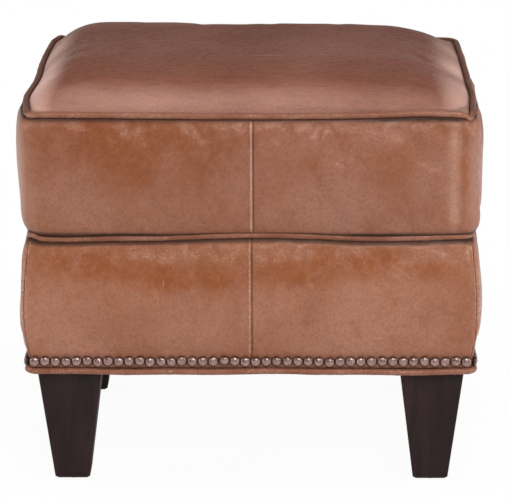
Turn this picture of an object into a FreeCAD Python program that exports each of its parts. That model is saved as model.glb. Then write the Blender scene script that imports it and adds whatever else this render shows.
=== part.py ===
"""Leather-covered footstool: hardwood frame on four tapered legs, sprung deck, padded and welted leather
cover with a crowned box cushion top and one row of decorative nails. Millimetres, +Z up, front towards -Y,
origin on the floor under the middle."""

import FreeCAD
import Part
import math
import os

Vector = FreeCAD.Vector

# Legs and glides
glide_diameter = 20.0
glide_thickness = 3.0
glide_nail_diameter = 2.4
glide_nail_length = 14.0
leg_height = 132.4
leg_top_size = 72.0
leg_foot_size = 39.3
leg_edge_radius = 2.0
leg_foot_chamfer = 2.5
leg_inset = 4.0  # from the frame's outer face to the leg's outer face at the top

# Leg fixings
bolt_diameter = 8.0
bolt_depth_in_leg = 50.0
bolt_stand_out = 5.0  # above the tee nut
bolt_clearance = 0.05
tee_barrel_diameter = 10.5
tee_barrel_length = 12.0
tee_flange_diameter = 22.0
tee_flange_thickness = 1.5

# Underside
dust_cover_thickness = 0.8
dust_cover_inset = 6.0
staple_crown_length = 12.0
staple_wire_width = 1.2
staple_wire_thickness = 0.6
staple_leg_length = 8.0
staples_per_long_side = 7
staples_per_short_side = 6

# Frame
frame_width = 489.0
frame_depth = 406.0
frame_corner_radius = 4.0
rail_height = 147.5
rail_thickness = 25.0
dowel_diameter = 10.0
dowel_length = 44.0
dowel_depth_in_long_rail = 18.0
dowels_per_joint = 3
block_side = 82.0
block_chamfer = 44.0
block_height = 38.0
screw_shank_diameter = 4.5
screw_head_diameter = 9.0
screw_length = 58.0
screw_from_corner = 32.0  # from the inner corner of the frame
screw_height = 27.0
screw_step = 9.0  # the side rails' screws cross below the long rails' screws

# Sprung deck
spring_count = 5
spring_wire_diameter = 3.8
spring_width = 48.0
spring_crossings = 16
clip_thickness = 1.2
clip_length = 18.0
clip_plate_width = 13.0
clip_clearance = 0.1
clip_from_inner_edge = 7.0
tie_wire_diameter = 3.0
tie_wire_spacing = 140.0
stack_clearance = 0.3
edge_roll_width = 11.0
deck_cloth_thickness = 1.2
deck_pad_thickness = 4.3

# Welts
welt_diameter = 7.4
welt_cord_diameter = 4.6
seam_gap = 0.1

# Leather and padding of the base
leather_thickness = 1.5
soft_clearance = 0.3  # between the leather and the padding or filling under it
padding_at_nails = 5.7
nail_band_height = 22.0  # from the frame's lower edge up to where the cover starts to swell
base_swell = 10.5  # beyond the leather at the nails, where the base is widest
base_swell_height = 0.42  # share of the height at which the base is widest
base_top_swell = 2.8
base_top_tuck = 5.1  # how far the rolled top edge turns back in
base_top_roll = 9.0  # height of that rolled edge
base_side_bow = 4.0
base_corner_radius = 15.0
nail_band_bow = 0.6
tack_strip_height = 12.0
tack_strip_thickness = 1.0
tack_strip_drop = 2.0  # below the top of the rails

# Cushion
welt_overhang = 4.3  # of the upper two welts' centre lines beyond the frame
welt_bow = 3.5
welt_corner_radius = 15.0
least_corner_radius = 3.0  # of the foam and padding inside a corner
boxing_height = 131.5
boxing_swell = 11.8  # beyond the welts' centre lines
boxing_fullness = 0.29  # the lower, the quicker the cover turns out next to each welt
boxing_corner_radius = 30.0
crown_height = 36.0
crown_shoulder = 78.0  # distance from the edge at which the crown is full
fiber_wrap_thickness = 12.0  # over the foam's crown
foam_overhang = -1.0  # of the foam block beyond the frame
foam_corner_radius = 18.0

# Decorative nails
nail_head_diameter = 11.5
nail_head_height = 3.6
nail_shank_size = 1.6
nail_shank_length = 14.0
nail_height = 15.7  # above the frame's lower edge
nails_per_long_side = 42
nails_per_short_side = 35
nail_end_inset = 9.0  # from the leather's corner to the first nail
side_nail_drop = 1.8  # keeps the shanks of two rows apart where they cross at a corner

# Levels, from the floor up
leg_top_z = glide_thickness + leg_height
frame_bottom_z = leg_top_z + dust_cover_thickness
rail_top_z = frame_bottom_z + rail_height
spring_radius = spring_wire_diameter / 2
tie_radius = tie_wire_diameter / 2
spring_axis_z = rail_top_z + clip_thickness + clip_clearance + spring_radius
tie_axis_z = spring_axis_z + spring_radius + tie_radius + clip_clearance
deck_cloth_z = tie_axis_z + tie_radius + clip_clearance + clip_thickness + stack_clearance
deck_pad_z = deck_cloth_z + deck_cloth_thickness
cushion_bottom_z = deck_pad_z + deck_pad_thickness
welt_radius = welt_diameter / 2
bottom_welt_z = frame_bottom_z + welt_radius + stack_clearance
mid_welt_z = cushion_bottom_z - seam_gap - welt_radius
cushion_top_z = cushion_bottom_z + boxing_height
top_welt_z = cushion_top_z + seam_gap + welt_radius
band_bottom_z = bottom_welt_z + welt_radius + seam_gap
band_swell_z = frame_bottom_z + nail_band_height
band_top_z = mid_welt_z - welt_radius - seam_gap
nail_z = frame_bottom_z + nail_height

# Plan
half_frame_x = frame_width / 2
half_frame_y = frame_depth / 2
inner_x = half_frame_x - rail_thickness
inner_y = half_frame_y - rail_thickness
leg_centre_x = half_frame_x - leg_inset - leg_top_size / 2
leg_centre_y = half_frame_y - leg_inset - leg_top_size / 2
clip_axis_y = inner_y + clip_from_inner_edge
clip_axis_x = inner_x + clip_from_inner_edge
nail_band_growth = padding_at_nails + leather_thickness

PARTS = "parts"
FRONT_BACK = (("front", -1), ("back", 1))
LEFT_RIGHT = (("left", -1), ("right", 1))
CORNERS = [(f"{y_name}_{x_name}", x, y) for y_name, y in FRONT_BACK for x_name, x in LEFT_RIGHT]


def polar(centre, radius, angle):
    return (centre[0] + radius * math.cos(angle), centre[1] + radius * math.sin(angle))


def arc_edge(centre, radius, start, end, z):
    """A circular arc at height z, anticlockwise from angle start to angle end."""
    points = [polar(centre, radius, a) for a in (start, (start + end) / 2, end)]
    return Part.Arc(*[Vector(x, y, z) for x, y in points]).toShape()


class Plan:
    """A pillow-shaped outline: four slightly bowed sides and four round corners, tangent to each other.

    growth is how far the middle of each side lies beyond the frame, and bow is how much further out the
    middle of a side is than its ends."""

    def __init__(self, growth, bow, corner_radius):
        self.growth = growth
        self.bow = bow
        self.half_x = half_frame_x + growth
        self.half_y = half_frame_y + growth
        self.corner_radius = corner_radius
        self.front_radius = (self.half_x**2 + bow**2) / (2 * bow)
        self.side_radius = (self.half_y**2 + bow**2) / (2 * bow)
        self.front_centre = (0.0, self.front_radius - self.half_y)
        self.side_centre = (self.half_x - self.side_radius, 0.0)
        self.corner_centre = self.find_corner_centre()
        self.front_end = self.angle_from(self.front_centre)
        self.side_start = self.angle_from(self.side_centre)

    def find_corner_centre(self):
        """Where the corner's circle touches both side circles from the inside, at the front right."""
        reach_front = self.front_radius - self.corner_radius
        reach_side = self.side_radius - self.corner_radius
        dx = self.side_centre[0] - self.front_centre[0]
        dy = self.side_centre[1] - self.front_centre[1]
        apart = math.hypot(dx, dy)
        along = (apart**2 + reach_front**2 - reach_side**2) / (2 * apart)
        across = math.sqrt(reach_front**2 - along**2)
        ux, uy = dx / apart, dy / apart
        found = []
        for side in (1, -1):
            x = self.front_centre[0] + ux * along - side * uy * across
            y = self.front_centre[1] + uy * along + side * ux * across
            found.append((x, y))
        return max(found, key=lambda p: p[0] - p[1])

    def angle_from(self, centre):
        return math.atan2(self.corner_centre[1] - centre[1], self.corner_centre[0] - centre[0])

    def wire(self, z, inset=0.0):
        """The outline at height z, moved in by inset all round."""
        if self.corner_radius - inset < least_corner_radius:
            return Plan(self.growth - inset, self.bow, least_corner_radius).wire(z)
        fx, fy = self.front_centre
        sx, sy = self.side_centre
        cx, cy = self.corner_centre
        front = self.front_radius - inset
        side = self.side_radius - inset
        corner = self.corner_radius - inset
        a, b = self.front_end, self.side_start
        pi = math.pi
        arcs = (
            ((fx, fy), front, -pi - a, a),
            ((cx, cy), corner, a, b),
            ((sx, sy), side, b, -b),
            ((cx, -cy), corner, -b, -a),
            ((fx, -fy), front, -a, pi + a),
            ((-cx, -cy), corner, pi + a, pi + b),
            ((-sx, sy), side, pi + b, 1.0 * pi - b),
            ((-cx, cy), corner, pi - b - 2 * pi, -pi - a),
        )
        edges = []
        for centre, radius, start, end in arcs:
            while end < start:
                end += 2 * pi
            edges.append(arc_edge(centre, radius, start, end, z))
        return Part.Wire(edges)

    def prism(self, bottom_z, top_z, inset=0.0):
        face = Part.Face(self.wire(bottom_z, inset))
        return face.extrude(Vector(0, 0, top_z - bottom_z))


def loft(wires):
    return Part.makeLoft(wires, True, False)


def box(x0, x1, y0, y1, z0, z1):
    return Part.makeBox(x1 - x0, y1 - y0, z1 - z0, Vector(x0, y0, z0))


def centred_box(centre, size):
    corner = Vector(*[c - s / 2 for c, s in zip(centre, size)])
    return Part.makeBox(*size, corner)


def rod(radius, length, start, direction):
    return Part.makeCylinder(radius, length, Vector(*start), Vector(*direction))


def rounded_rectangle(size_x, size_y, radius, z, centre=(0.0, 0.0)):
    """A rectangle's outline with round corners, at height z."""
    cx, cy = centre
    hx, hy = size_x / 2 - radius, size_y / 2 - radius
    quarter = math.pi / 2
    edges = []
    for i, (sx, sy) in enumerate(((1, -1), (1, 1), (-1, 1), (-1, -1))):
        start = (i - 1) * quarter
        corner = (cx + sx * hx, cy + sy * hy)
        edges.append(arc_edge(corner, radius, start, start + quarter, z))
    joined = []
    for i, edge in enumerate(edges):
        following = edges[(i + 1) % 4]
        joined.append(edge)
        joined.append(Part.makeLine(edge.Vertexes[-1].Point, following.Vertexes[0].Point))
    return Part.Wire(joined)


def frame_prism(bottom_z, top_z):
    outline = rounded_rectangle(frame_width, frame_depth, frame_corner_radius, bottom_z)
    return Part.Face(outline).extrude(Vector(0, 0, top_z - bottom_z))


def save(name, shape):
    """Writes one node. Several solids stay separate inside it."""
    solids = shape.Solids
    kept = solids[0] if len(solids) == 1 else Part.makeCompound(solids)
    if not kept.isValid():
        raise RuntimeError(f"{name} is not a valid shape")
    kept.exportStep(os.path.join(PARTS, name + ".step"))


def spread(count, reach):
    """count places, evenly spaced from -reach to reach."""
    return [-reach + 2 * reach * i / (count - 1) for i in range(count)]


def make_glide():
    """Nail-on glide under the origin of its leg."""
    pad = Part.makeCylinder(glide_diameter / 2, glide_thickness)
    rim = [e for e in pad.Edges if e.BoundBox.ZMax < glide_thickness / 2 and e.Length > glide_diameter]
    pad = pad.makeChamfer(glide_thickness / 4, rim)
    nail = rod(glide_nail_diameter / 2, glide_nail_length, (0, 0, glide_thickness), (0, 0, 1))
    return pad.fuse(nail)


def make_hanger_bolt():
    """Half wood screw, half machine thread, on the leg's axis."""
    bottom = leg_top_z - bolt_depth_in_leg
    top = frame_bottom_z + block_height + tee_flange_thickness + bolt_stand_out
    radius = bolt_diameter / 2
    point = Part.makeCone(radius / 4, radius, bolt_diameter, Vector(0, 0, bottom))
    shaft = rod(radius, top - bottom - bolt_diameter, (0, 0, bottom + bolt_diameter), (0, 0, 1))
    return point.fuse(shaft).removeSplitter()


def make_tee_nut():
    """Barrel down in the corner block, flange on top of it."""
    top = frame_bottom_z + block_height
    flange = rod(tee_flange_diameter / 2, tee_flange_thickness, (0, 0, top), (0, 0, 1))
    barrel = rod(tee_barrel_diameter / 2, tee_barrel_length, (0, 0, top - tee_barrel_length), (0, 0, 1))
    bore = rod(
        bolt_diameter / 2 + bolt_clearance,
        tee_barrel_length + tee_flange_thickness,
        (0, 0, top - tee_barrel_length),
        (0, 0, 1),
    )
    return flange.fuse(barrel).cut(bore)


def make_leg(hanger_bolt, glide):
    """Square leg that tapers on all four faces, with eased edges and a chamfered foot."""
    foot_z = glide_thickness
    taper = (leg_top_size - leg_foot_size) / leg_height
    chamfer_size = leg_foot_size + taper * leg_foot_chamfer
    sizes = (
        (foot_z, leg_foot_size - 2 * leg_foot_chamfer),
        (foot_z + leg_foot_chamfer, chamfer_size),
        (leg_top_z, leg_top_size),
    )
    wires = [rounded_rectangle(s, s, leg_edge_radius, z) for z, s in sizes]
    body = Part.makeLoft(wires, True, True)
    return body.cut(Part.makeCompound([hanger_bolt, glide]))


def make_corner_block(x_sign, y_sign):
    """Block glued in the frame's corner, with its inner corner cut off."""
    far_x, far_y = inner_x - block_side, inner_y - block_side
    outline = (
        (inner_x, inner_y),
        (far_x, inner_y),
        (far_x, far_y + block_chamfer),
        (far_x + block_chamfer, far_y),
        (inner_x, far_y),
        (inner_x, inner_y),
    )
    points = [Vector(x_sign * x, y_sign * y, frame_bottom_z) for x, y in outline]
    return Part.Face(Part.makePolygon(points)).extrude(Vector(0, 0, block_height))


def make_screw(start, direction):
    """Countersunk screw whose head is flush at start."""
    head_height = (screw_head_diameter - screw_shank_diameter) / 2
    axis = Vector(*direction)
    head = Part.makeCone(
        screw_head_diameter / 2, screw_shank_diameter / 2, head_height, Vector(*start), axis
    )
    shank = rod(screw_shank_diameter / 2, screw_length, start, direction)
    return head.fuse(shank)


def frame_screws():
    """Two screws into each corner block, one through each rail."""
    screws = []
    for _, sx, sy in CORNERS:
        x = sx * (inner_x - screw_from_corner)
        y = sy * (inner_y - screw_from_corner)
        z = frame_bottom_z + screw_height
        screws.append(make_screw((x, sy * half_frame_y, z), (0, -sy, 0)))
        screws.append(make_screw((sx * half_frame_x, y, z - screw_step), (-sx, 0, 0)))
    return screws


def rail_dowels():
    """Dowels between the ends of the short rails and the long rails."""
    dowels = []
    for _, sx, sy in CORNERS:
        x = sx * (half_frame_x - rail_thickness / 2)
        start_y = inner_y + dowel_depth_in_long_rail
        for i in range(dowels_per_joint):
            z = frame_bottom_z + rail_height * (i + 1) / (dowels_per_joint + 1)
            dowels.append(rod(dowel_diameter / 2, dowel_length, (x, sy * start_y, z), (0, -sy, 0)))
    return dowels


def dust_cover_staples():
    """Staples through the dust cover into the underside of the rails."""
    staples = []
    middle = rail_thickness / 2

    def staple(x, y, along_x):
        length = staple_crown_length
        size = (length, staple_wire_width) if along_x else (staple_wire_width, length)
        crown_z = leg_top_z - staple_wire_thickness / 2
        parts = [centred_box((x, y, crown_z), (*size, staple_wire_thickness))]
        for side in (-1, 1):
            offset = side * (length - staple_wire_thickness) / 2
            px, py = (x + offset, y) if along_x else (x, y + offset)
            leg_size = (staple_wire_thickness, staple_wire_width)
            leg_size = leg_size if along_x else leg_size[::-1]
            leg_z = leg_top_z + staple_leg_length / 2
            parts.append(centred_box((px, py, leg_z), (*leg_size, staple_leg_length)))
        return parts[0].multiFuse(parts[1:]).removeSplitter()

    clear_of_leg = leg_top_size / 2 + staple_crown_length
    for _, side in FRONT_BACK:
        for x in spread(staples_per_long_side, leg_centre_x - clear_of_leg):
            staples.append(staple(x, side * (half_frame_y - middle), True))
    for _, side in LEFT_RIGHT:
        for y in spread(staples_per_short_side, leg_centre_y - clear_of_leg):
            staples.append(staple(side * (half_frame_x - middle), y, False))
    return staples


def decorative_nail():
    """Domed head and square shank at the origin. The head points to -Y and the shank runs along +Y."""
    radius, height = nail_head_diameter / 2, nail_head_height
    sphere_radius = (radius**2 + height**2) / (2 * height)
    half_turn = math.asin(radius / sphere_radius) / 2
    shoulder_y = height - sphere_radius * (1 - math.cos(half_turn))
    rim = Vector(radius, 0, 0)
    shoulder = Vector(sphere_radius * math.sin(half_turn), -shoulder_y, 0)
    apex = Vector(0, -height, 0)
    dome = Part.Arc(rim, shoulder, apex).toShape()
    profile = Part.Wire([dome, Part.makeLine(apex, Vector()), Part.makeLine(Vector(), rim)])
    head = Part.Face(profile).revolve(Vector(), Vector(0, 1, 0), 360)
    size = nail_shank_size
    shank = centred_box((0, nail_shank_length / 2, 0), (size, nail_shank_length, size))
    return head.fuse(shank), shank


def nail_rows():
    """The four rows of decorative nails, by side, and their shanks alone."""
    nail, shank = decorative_nail()
    leather_x = half_frame_x + nail_band_growth
    leather_y = half_frame_y + nail_band_growth
    turns = {"front": 0, "right": 90, "back": 180, "left": 270}
    rows, shanks = {}, []
    for side, degrees in turns.items():
        long_side = side in ("front", "back")
        out = leather_y if long_side else leather_x
        reach = (leather_x if long_side else leather_y) - nail_end_inset
        count = nails_per_long_side if long_side else nails_per_short_side
        z = nail_z if long_side else nail_z - side_nail_drop

        def placed(shape, along):
            moved = shape.translated(Vector(along, -out, z))
            moved.rotate(Vector(), Vector(0, 0, 1), degrees)
            return moved

        rows[side] = [placed(nail, along) for along in spread(count, reach)]
        shanks += [placed(shank, along) for along in spread(count, reach)]
    return rows, shanks


def cut_near(body, tools):
    """Cuts the tools that reach into the body's own box out of the body."""
    touching = [t for t in tools if t.BoundBox.intersect(body.BoundBox)]
    return body.cut(Part.makeCompound(touching)) if touching else body


def make_clip(x, y, axis_z, length):
    """Steel clip on top of a rail, with a loop round a wire that runs along X."""
    bore_radius = axis_z - rail_top_z - clip_thickness
    outer = rod(bore_radius + clip_thickness, length, (x - length / 2, y, axis_z), (1, 0, 0))
    plate = centred_box((x, y, rail_top_z + clip_thickness / 2), (length, clip_plate_width, clip_thickness))
    bore = rod(bore_radius, length, (x - length / 2, y, axis_z), (1, 0, 0))
    return outer.fuse(plate).cut(bore)


def make_tie_clip(x, y):
    """Steel saddle on a side rail that holds the end of a tie wire."""
    bore_radius = tie_radius + clip_clearance
    length = clip_plate_width
    top = tie_axis_z + bore_radius + clip_thickness
    width = 2 * (bore_radius + clip_thickness)
    post = centred_box((x, y, (rail_top_z + top) / 2), (length, width, top - rail_top_z))
    plate = centred_box((x, y, rail_top_z + clip_thickness / 2), (length, clip_length, clip_thickness))
    bore = rod(bore_radius, length, (x - length / 2, y, tie_axis_z), (1, 0, 0))
    return post.fuse(plate).cut(bore)


def make_spring():
    """Zigzag spring wire from the front clips to the back clips, flat, with half-round turns."""
    pitch = 2 * clip_axis_y / spring_crossings
    turn = pitch / 2
    half = spring_width / 2 - turn - spring_radius
    z = spring_axis_z
    edges = []
    for i in range(spring_crossings + 1):
        y = -clip_axis_y + i * pitch
        side = 1 if i % 2 == 0 else -1
        edges.append(Part.makeLine(Vector(-side * half, y, z), Vector(side * half, y, z)))
        if i < spring_crossings:
            start = Vector(side * half, y, z)
            middle = Vector(side * (half + turn), y + turn, z)
            end = Vector(side * half, y + pitch, z)
            edges.append(Part.Arc(start, middle, end).toShape())
    path = Part.Wire(edges)
    ring = Part.makeCircle(spring_radius, Vector(-half, -clip_axis_y, z), Vector(1, 0, 0))
    return path.makePipeShell([Part.Wire([ring])], True, False)


def make_tube(plan, z, radius):
    """A round cord that follows an outline at height z."""
    path = plan.wire(z)
    first = path.Edges[0]
    start, tangent = first.valueAt(first.FirstParameter), first.tangentAt(first.FirstParameter)
    ring = Part.makeCircle(radius, start, tangent)
    return path.makePipeShell([Part.Wire([ring])], True, False)


def welt_and_cord(plan, z):
    """A leather casing and the filler cord inside it."""
    cord = make_tube(plan, z, welt_cord_diameter / 2)
    casing = make_tube(plan, z, welt_radius).cut(cord)
    return casing, cord


def bottom_welt_flange():
    """The sewn edge of the bottom welt, turned in to the face of the rails."""
    half = leather_thickness / 2
    low, high = bottom_welt_z - half, bottom_welt_z + half
    clearance = 2 * stack_clearance
    inner = rounded_rectangle(frame_width + clearance, frame_depth + clearance, frame_corner_radius, low)
    hole = Part.Face(inner).extrude(Vector(0, 0, leather_thickness))
    return nail_band_plan.prism(low, high).cut(hole)


nail_band_plan = Plan(nail_band_growth, nail_band_bow, frame_corner_radius + nail_band_growth)
welt_plan = Plan(welt_overhang, welt_bow, welt_corner_radius)


def base_sections():
    """Heights and outlines of the swelling part of the base cover, from the nails up to the rolled edge."""
    roll_z = band_top_z - base_top_roll
    height = roll_z - band_swell_z
    bottom, wide, top = nail_band_growth, nail_band_growth + base_swell, nail_band_growth + base_top_swell
    peak = base_swell_height
    sections = []
    for share in (0.0, peak / 3, 2 * peak / 3, peak, (1 + peak) / 2, 1.0):
        low = share <= peak
        run = 1 - share / peak if low else (share - peak) / (1 - peak)
        end = bottom if low else top
        growth = wide - (wide - end) * run ** (2.4 if low else 2.0)
        fullness = 1 - run**2 if low else 1 - 0.3 * run**2
        bow = nail_band_bow + (base_side_bow - nail_band_bow) * fullness
        first_radius = frame_corner_radius + nail_band_growth
        radius = first_radius + (base_corner_radius - first_radius) * fullness
        sections.append((band_swell_z + height * share, Plan(growth, bow, radius)))
    last_bow, last_radius = bow, radius
    for share in (0.5, 1.0):
        growth = top - base_top_tuck * share**2
        sections.append((roll_z + base_top_roll * share, Plan(growth, last_bow, last_radius)))
    return sections


def base_body(inset):
    """The whole base as a solid, moved in by inset: a straight band behind the nails and a swelling part."""
    band = nail_band_plan.prism(band_bottom_z, band_swell_z, inset)
    swell = loft([plan.wire(z, inset) for z, plan in base_sections()])
    return band.fuse(swell)


def boxing_sections(top_z):
    """Heights and outlines of the cushion's sides, which puff out next to each welt."""
    sections = []
    lower_half = (0.0, 0.055, 0.13, 0.22, 0.34, 0.5)
    for share in lower_half + tuple(1 - s for s in reversed(lower_half[:-1])):
        full = (4 * share * (1 - share)) ** boxing_fullness
        radius = welt_corner_radius + (boxing_corner_radius - welt_corner_radius) * full
        plan = Plan(welt_overhang + boxing_swell * full, welt_bow, radius)
        sections.append((cushion_bottom_z + (top_z - cushion_bottom_z) * share, plan))
    return sections


def boxing_body(inset, top_z):
    return loft([plan.wire(z, inset) for z, plan in boxing_sections(top_z)])


def crown_rise(distance):
    """Share of the crown's height at a distance in from the edge."""
    if distance >= crown_shoulder:
        return 1.0
    return 1.0 - (1.0 - distance / crown_shoulder) ** 2.2


def crown_section(y, rise, half_width, bottom_z, rim_z):
    """One slice across the crown: a flat bottom, short upright sides, two shoulders and a nearly flat top."""
    shoulder = crown_shoulder
    top = rim_z + rise
    middle_x = half_width - 0.3 * shoulder
    middle_z = rim_z + rise * crown_rise(0.3 * shoulder)
    inner = half_width - shoulder
    side = Vector(half_width, y, rim_z)
    floor = Vector(half_width, y, bottom_z)
    shoulder_end = Vector(inner, y, top)
    bend = Vector(middle_x, y, middle_z)

    def mirrored(v):
        return Vector(-v.x, v.y, v.z)

    summit = Vector(0, y, top + 0.02 * rise)
    edges = [
        Part.makeLine(mirrored(floor), floor),
        Part.makeLine(floor, side),
        Part.Arc(side, bend, shoulder_end).toShape(),
        Part.Arc(shoulder_end, summit, mirrored(shoulder_end)).toShape(),
        Part.Arc(mirrored(shoulder_end), mirrored(bend), mirrored(side)).toShape(),
        Part.makeLine(mirrored(side), mirrored(floor)),
    ]
    return Part.Wire(edges)


def crown_body(inset, bottom_z, drop):
    """The crowned top inside the top welt, moved in by inset and down by drop."""
    half_x = welt_plan.half_x - welt_radius
    half_y = welt_plan.half_y - welt_radius
    rim_z = top_welt_z - drop
    margin = 1.0
    wires = []
    distances = [crown_shoulder * s for s in (0.0, 0.12, 0.33, 0.65, 1.0)]
    stations = [(-(half_y - d), d) for d in distances]
    stations.append((0.0, half_y))
    stations += [(-y, d) for y, d in reversed(stations[:-1])]
    for y, distance in stations:
        rise = crown_height * (0.02 + 0.98 * crown_rise(distance))
        if distance == 0.0:
            y += math.copysign(margin, y)
        wires.append(crown_section(y, rise, half_x + margin, bottom_z, rim_z))
    crown = loft(wires)
    return crown.common(welt_plan.prism(bottom_z - 1, rim_z + 2 * crown_height, welt_radius + inset))


def corner_trapezoid(side, plan, bottom_z, top_z):
    """A cutter that keeps one side of a cover, between its two corner seams."""
    cx, cy = abs(plan.corner_centre[0]), abs(plan.corner_centre[1])
    far = max(cx, cy)
    if side in ("front", "back"):
        sign = -1 if side == "front" else 1
        outline = ((-cx, sign * cy), (cx, sign * cy), (cx + far, sign * (cy + far)), (-cx - far, sign * (cy + far)))
    else:
        sign = -1 if side == "left" else 1
        outline = ((sign * cx, -cy), (sign * cx, cy), (sign * (cx + far), cy + far), (sign * (cx + far), -cy - far))
    points = [Vector(x, y, bottom_z) for x, y in outline]
    face = Part.Face(Part.makePolygon(points + points[:1]))
    return face.extrude(Vector(0, 0, top_z - bottom_z))


def half_space(axis, sign, bottom_z, top_z):
    """A large box on one side of the middle, along X or Y."""
    far = frame_width
    x = (0, far) if axis == "x" else (-far, far)
    y = (0, far) if axis == "y" else (-far, far)
    if sign < 0:
        x = (-x[1], -x[0])
        y = (-y[1], -y[0])
    return box(x[0], x[1], y[0], y[1], bottom_z, top_z)


def build_legs():
    glide = make_glide()
    bolt = make_hanger_bolt()
    tee_nut = make_tee_nut()
    leg = make_leg(bolt, glide)
    glides, bolts, tee_nuts = [], [], []
    for name, sx, sy in CORNERS:
        move = Vector(sx * leg_centre_x, sy * leg_centre_y, 0)
        save(f"leg_{name}", leg.translated(move))
        glides.append(glide.translated(move))
        bolts.append(bolt.translated(move))
        tee_nuts.append(tee_nut.translated(move))
    save("glides", Part.makeCompound(glides))
    save("hanger_bolts", Part.makeCompound(bolts))
    save("tee_nuts", Part.makeCompound(tee_nuts))
    return bolts, tee_nuts


def build_frame(bolts, tee_nuts, nail_shanks):
    screws = frame_screws()
    dowels = rail_dowels()
    staples = dust_cover_staples()
    fixings = [*nail_shanks, *screws, *dowels, *staples]

    outline = frame_prism(frame_bottom_z, rail_top_z)
    for name, sign in FRONT_BACK:
        y = sorted((sign * inner_y, sign * half_frame_y))
        slab = box(-half_frame_x, half_frame_x, y[0], y[1], frame_bottom_z, rail_top_z)
        save(f"rail_{name}", cut_near(outline.common(slab), fixings))
    for name, sign in LEFT_RIGHT:
        x = sorted((sign * inner_x, sign * half_frame_x))
        slab = box(x[0], x[1], -inner_y, inner_y, frame_bottom_z, rail_top_z)
        save(f"rail_{name}", cut_near(slab, fixings))

    bolt_radius = bolt_diameter / 2 + bolt_clearance
    for name, sx, sy in CORNERS:
        bolt_hole = rod(
            bolt_radius, block_height, (sx * leg_centre_x, sy * leg_centre_y, frame_bottom_z), (0, 0, 1)
        )
        block = cut_near(make_corner_block(sx, sy), [bolt_hole])
        save(f"corner_block_{name}", cut_near(block, [*screws, *tee_nuts]))
    save("frame_screws", Part.makeCompound(screws))
    save("rail_dowels", Part.makeCompound(dowels))
    save("dust_cover_staples", Part.makeCompound(staples))

    cover_x, cover_y = frame_width - 2 * dust_cover_inset, frame_depth - 2 * dust_cover_inset
    sheet = rounded_rectangle(cover_x, cover_y, frame_corner_radius, leg_top_z)
    cover = Part.Face(sheet).extrude(Vector(0, 0, dust_cover_thickness))
    save("dust_cover", cover.cut(Part.makeCompound([*staples, *bolts])))


def build_deck():
    spring = make_spring()
    clips = []
    pitch = 2 * inner_x / spring_count
    for i in range(spring_count):
        x = -inner_x + pitch * (i + 0.5)
        save(f"zigzag_spring_{i + 1}", spring.translated(Vector(x, 0, 0)))
        for side in (-1, 1):
            clips.append(make_clip(x, side * clip_axis_y, spring_axis_z, clip_length))
    save("spring_clips", Part.makeCompound(clips))

    ties, tie_clips = [], []
    inset = welt_radius + seam_gap
    edge_x = welt_plan.half_x - inset - edge_roll_width
    edge_y = welt_plan.half_y - inset - edge_roll_width
    half = edge_x - stack_clearance
    for side in (-1, 1):
        y = side * tie_wire_spacing / 2
        ties.append(rod(tie_radius, 2 * half, (-half, y, tie_axis_z), (1, 0, 0)))
        tie_clips += [make_tie_clip(sx * clip_axis_x, y) for sx in (-1, 1)]
    save("spring_tie_wires", Part.makeCompound(ties))
    save("tie_wire_clips", Part.makeCompound(tie_clips))

    outer = welt_plan.prism(rail_top_z, deck_cloth_z, inset)
    inner = rounded_rectangle(2 * edge_x, 2 * edge_y, frame_corner_radius, rail_top_z)
    hollow = Part.Face(inner).extrude(Vector(0, 0, deck_cloth_z - rail_top_z))
    save("edge_roll", outer.cut(hollow))
    save("deck_cloth", welt_plan.prism(deck_cloth_z, deck_pad_z, inset))
    save("deck_pad", welt_plan.prism(deck_pad_z, cushion_bottom_z, inset))


def build_base_cover(rows, nail_shanks):
    for side, row in rows.items():
        save(f"nails_{side}", Part.makeCompound(row))

    strip_top = rail_top_z - tack_strip_drop
    strip_bottom = strip_top - tack_strip_height
    strips = []
    reach_x, reach_y = half_frame_x - frame_corner_radius, half_frame_y - frame_corner_radius
    for _, sign in FRONT_BACK:
        y = sorted((sign * half_frame_y, sign * (half_frame_y + tack_strip_thickness)))
        strips.append(box(-reach_x, reach_x, y[0], y[1], strip_bottom, strip_top))
    for _, sign in LEFT_RIGHT:
        x = sorted((sign * half_frame_x, sign * (half_frame_x + tack_strip_thickness)))
        strips.append(box(x[0], x[1], -reach_y, reach_y, strip_bottom, strip_top))
    save("tack_strips", Part.makeCompound(strips))

    skin = base_body(0.0).cut(base_body(leather_thickness))
    frame = frame_prism(frame_bottom_z, rail_top_z)
    deck_edge = welt_plan.prism(rail_top_z, band_top_z + 1, welt_radius + seam_gap)
    padding = base_body(leather_thickness + soft_clearance)
    padding = padding.cut(Part.makeCompound([frame, deck_edge, *strips]))

    low, high = band_bottom_z - 1, band_top_z + 1
    for side in ("front", "back", "left", "right"):
        keeper = corner_trapezoid(side, nail_band_plan, low, high)
        save(f"base_padding_{side}", cut_near(padding.common(keeper), nail_shanks))
        panel = cut_near(skin.common(keeper), nail_shanks)
        if side in ("left", "right"):
            save(f"base_panel_{side}", panel)
            continue
        for name, sign in LEFT_RIGHT:
            save(f"base_panel_{side}_{name}", panel.common(half_space("x", sign, low, high)))


def build_welts():
    for name, plan, z in (
        ("bottom_welt", nail_band_plan, bottom_welt_z),
        ("middle_welt", welt_plan, mid_welt_z),
        ("top_welt", welt_plan, top_welt_z),
    ):
        casing, cord = welt_and_cord(plan, z)
        if name == "bottom_welt":
            casing = casing.fuse(bottom_welt_flange()).cut(cord)
        save(name, casing)
        save(f"{name}_cord", cord)


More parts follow.
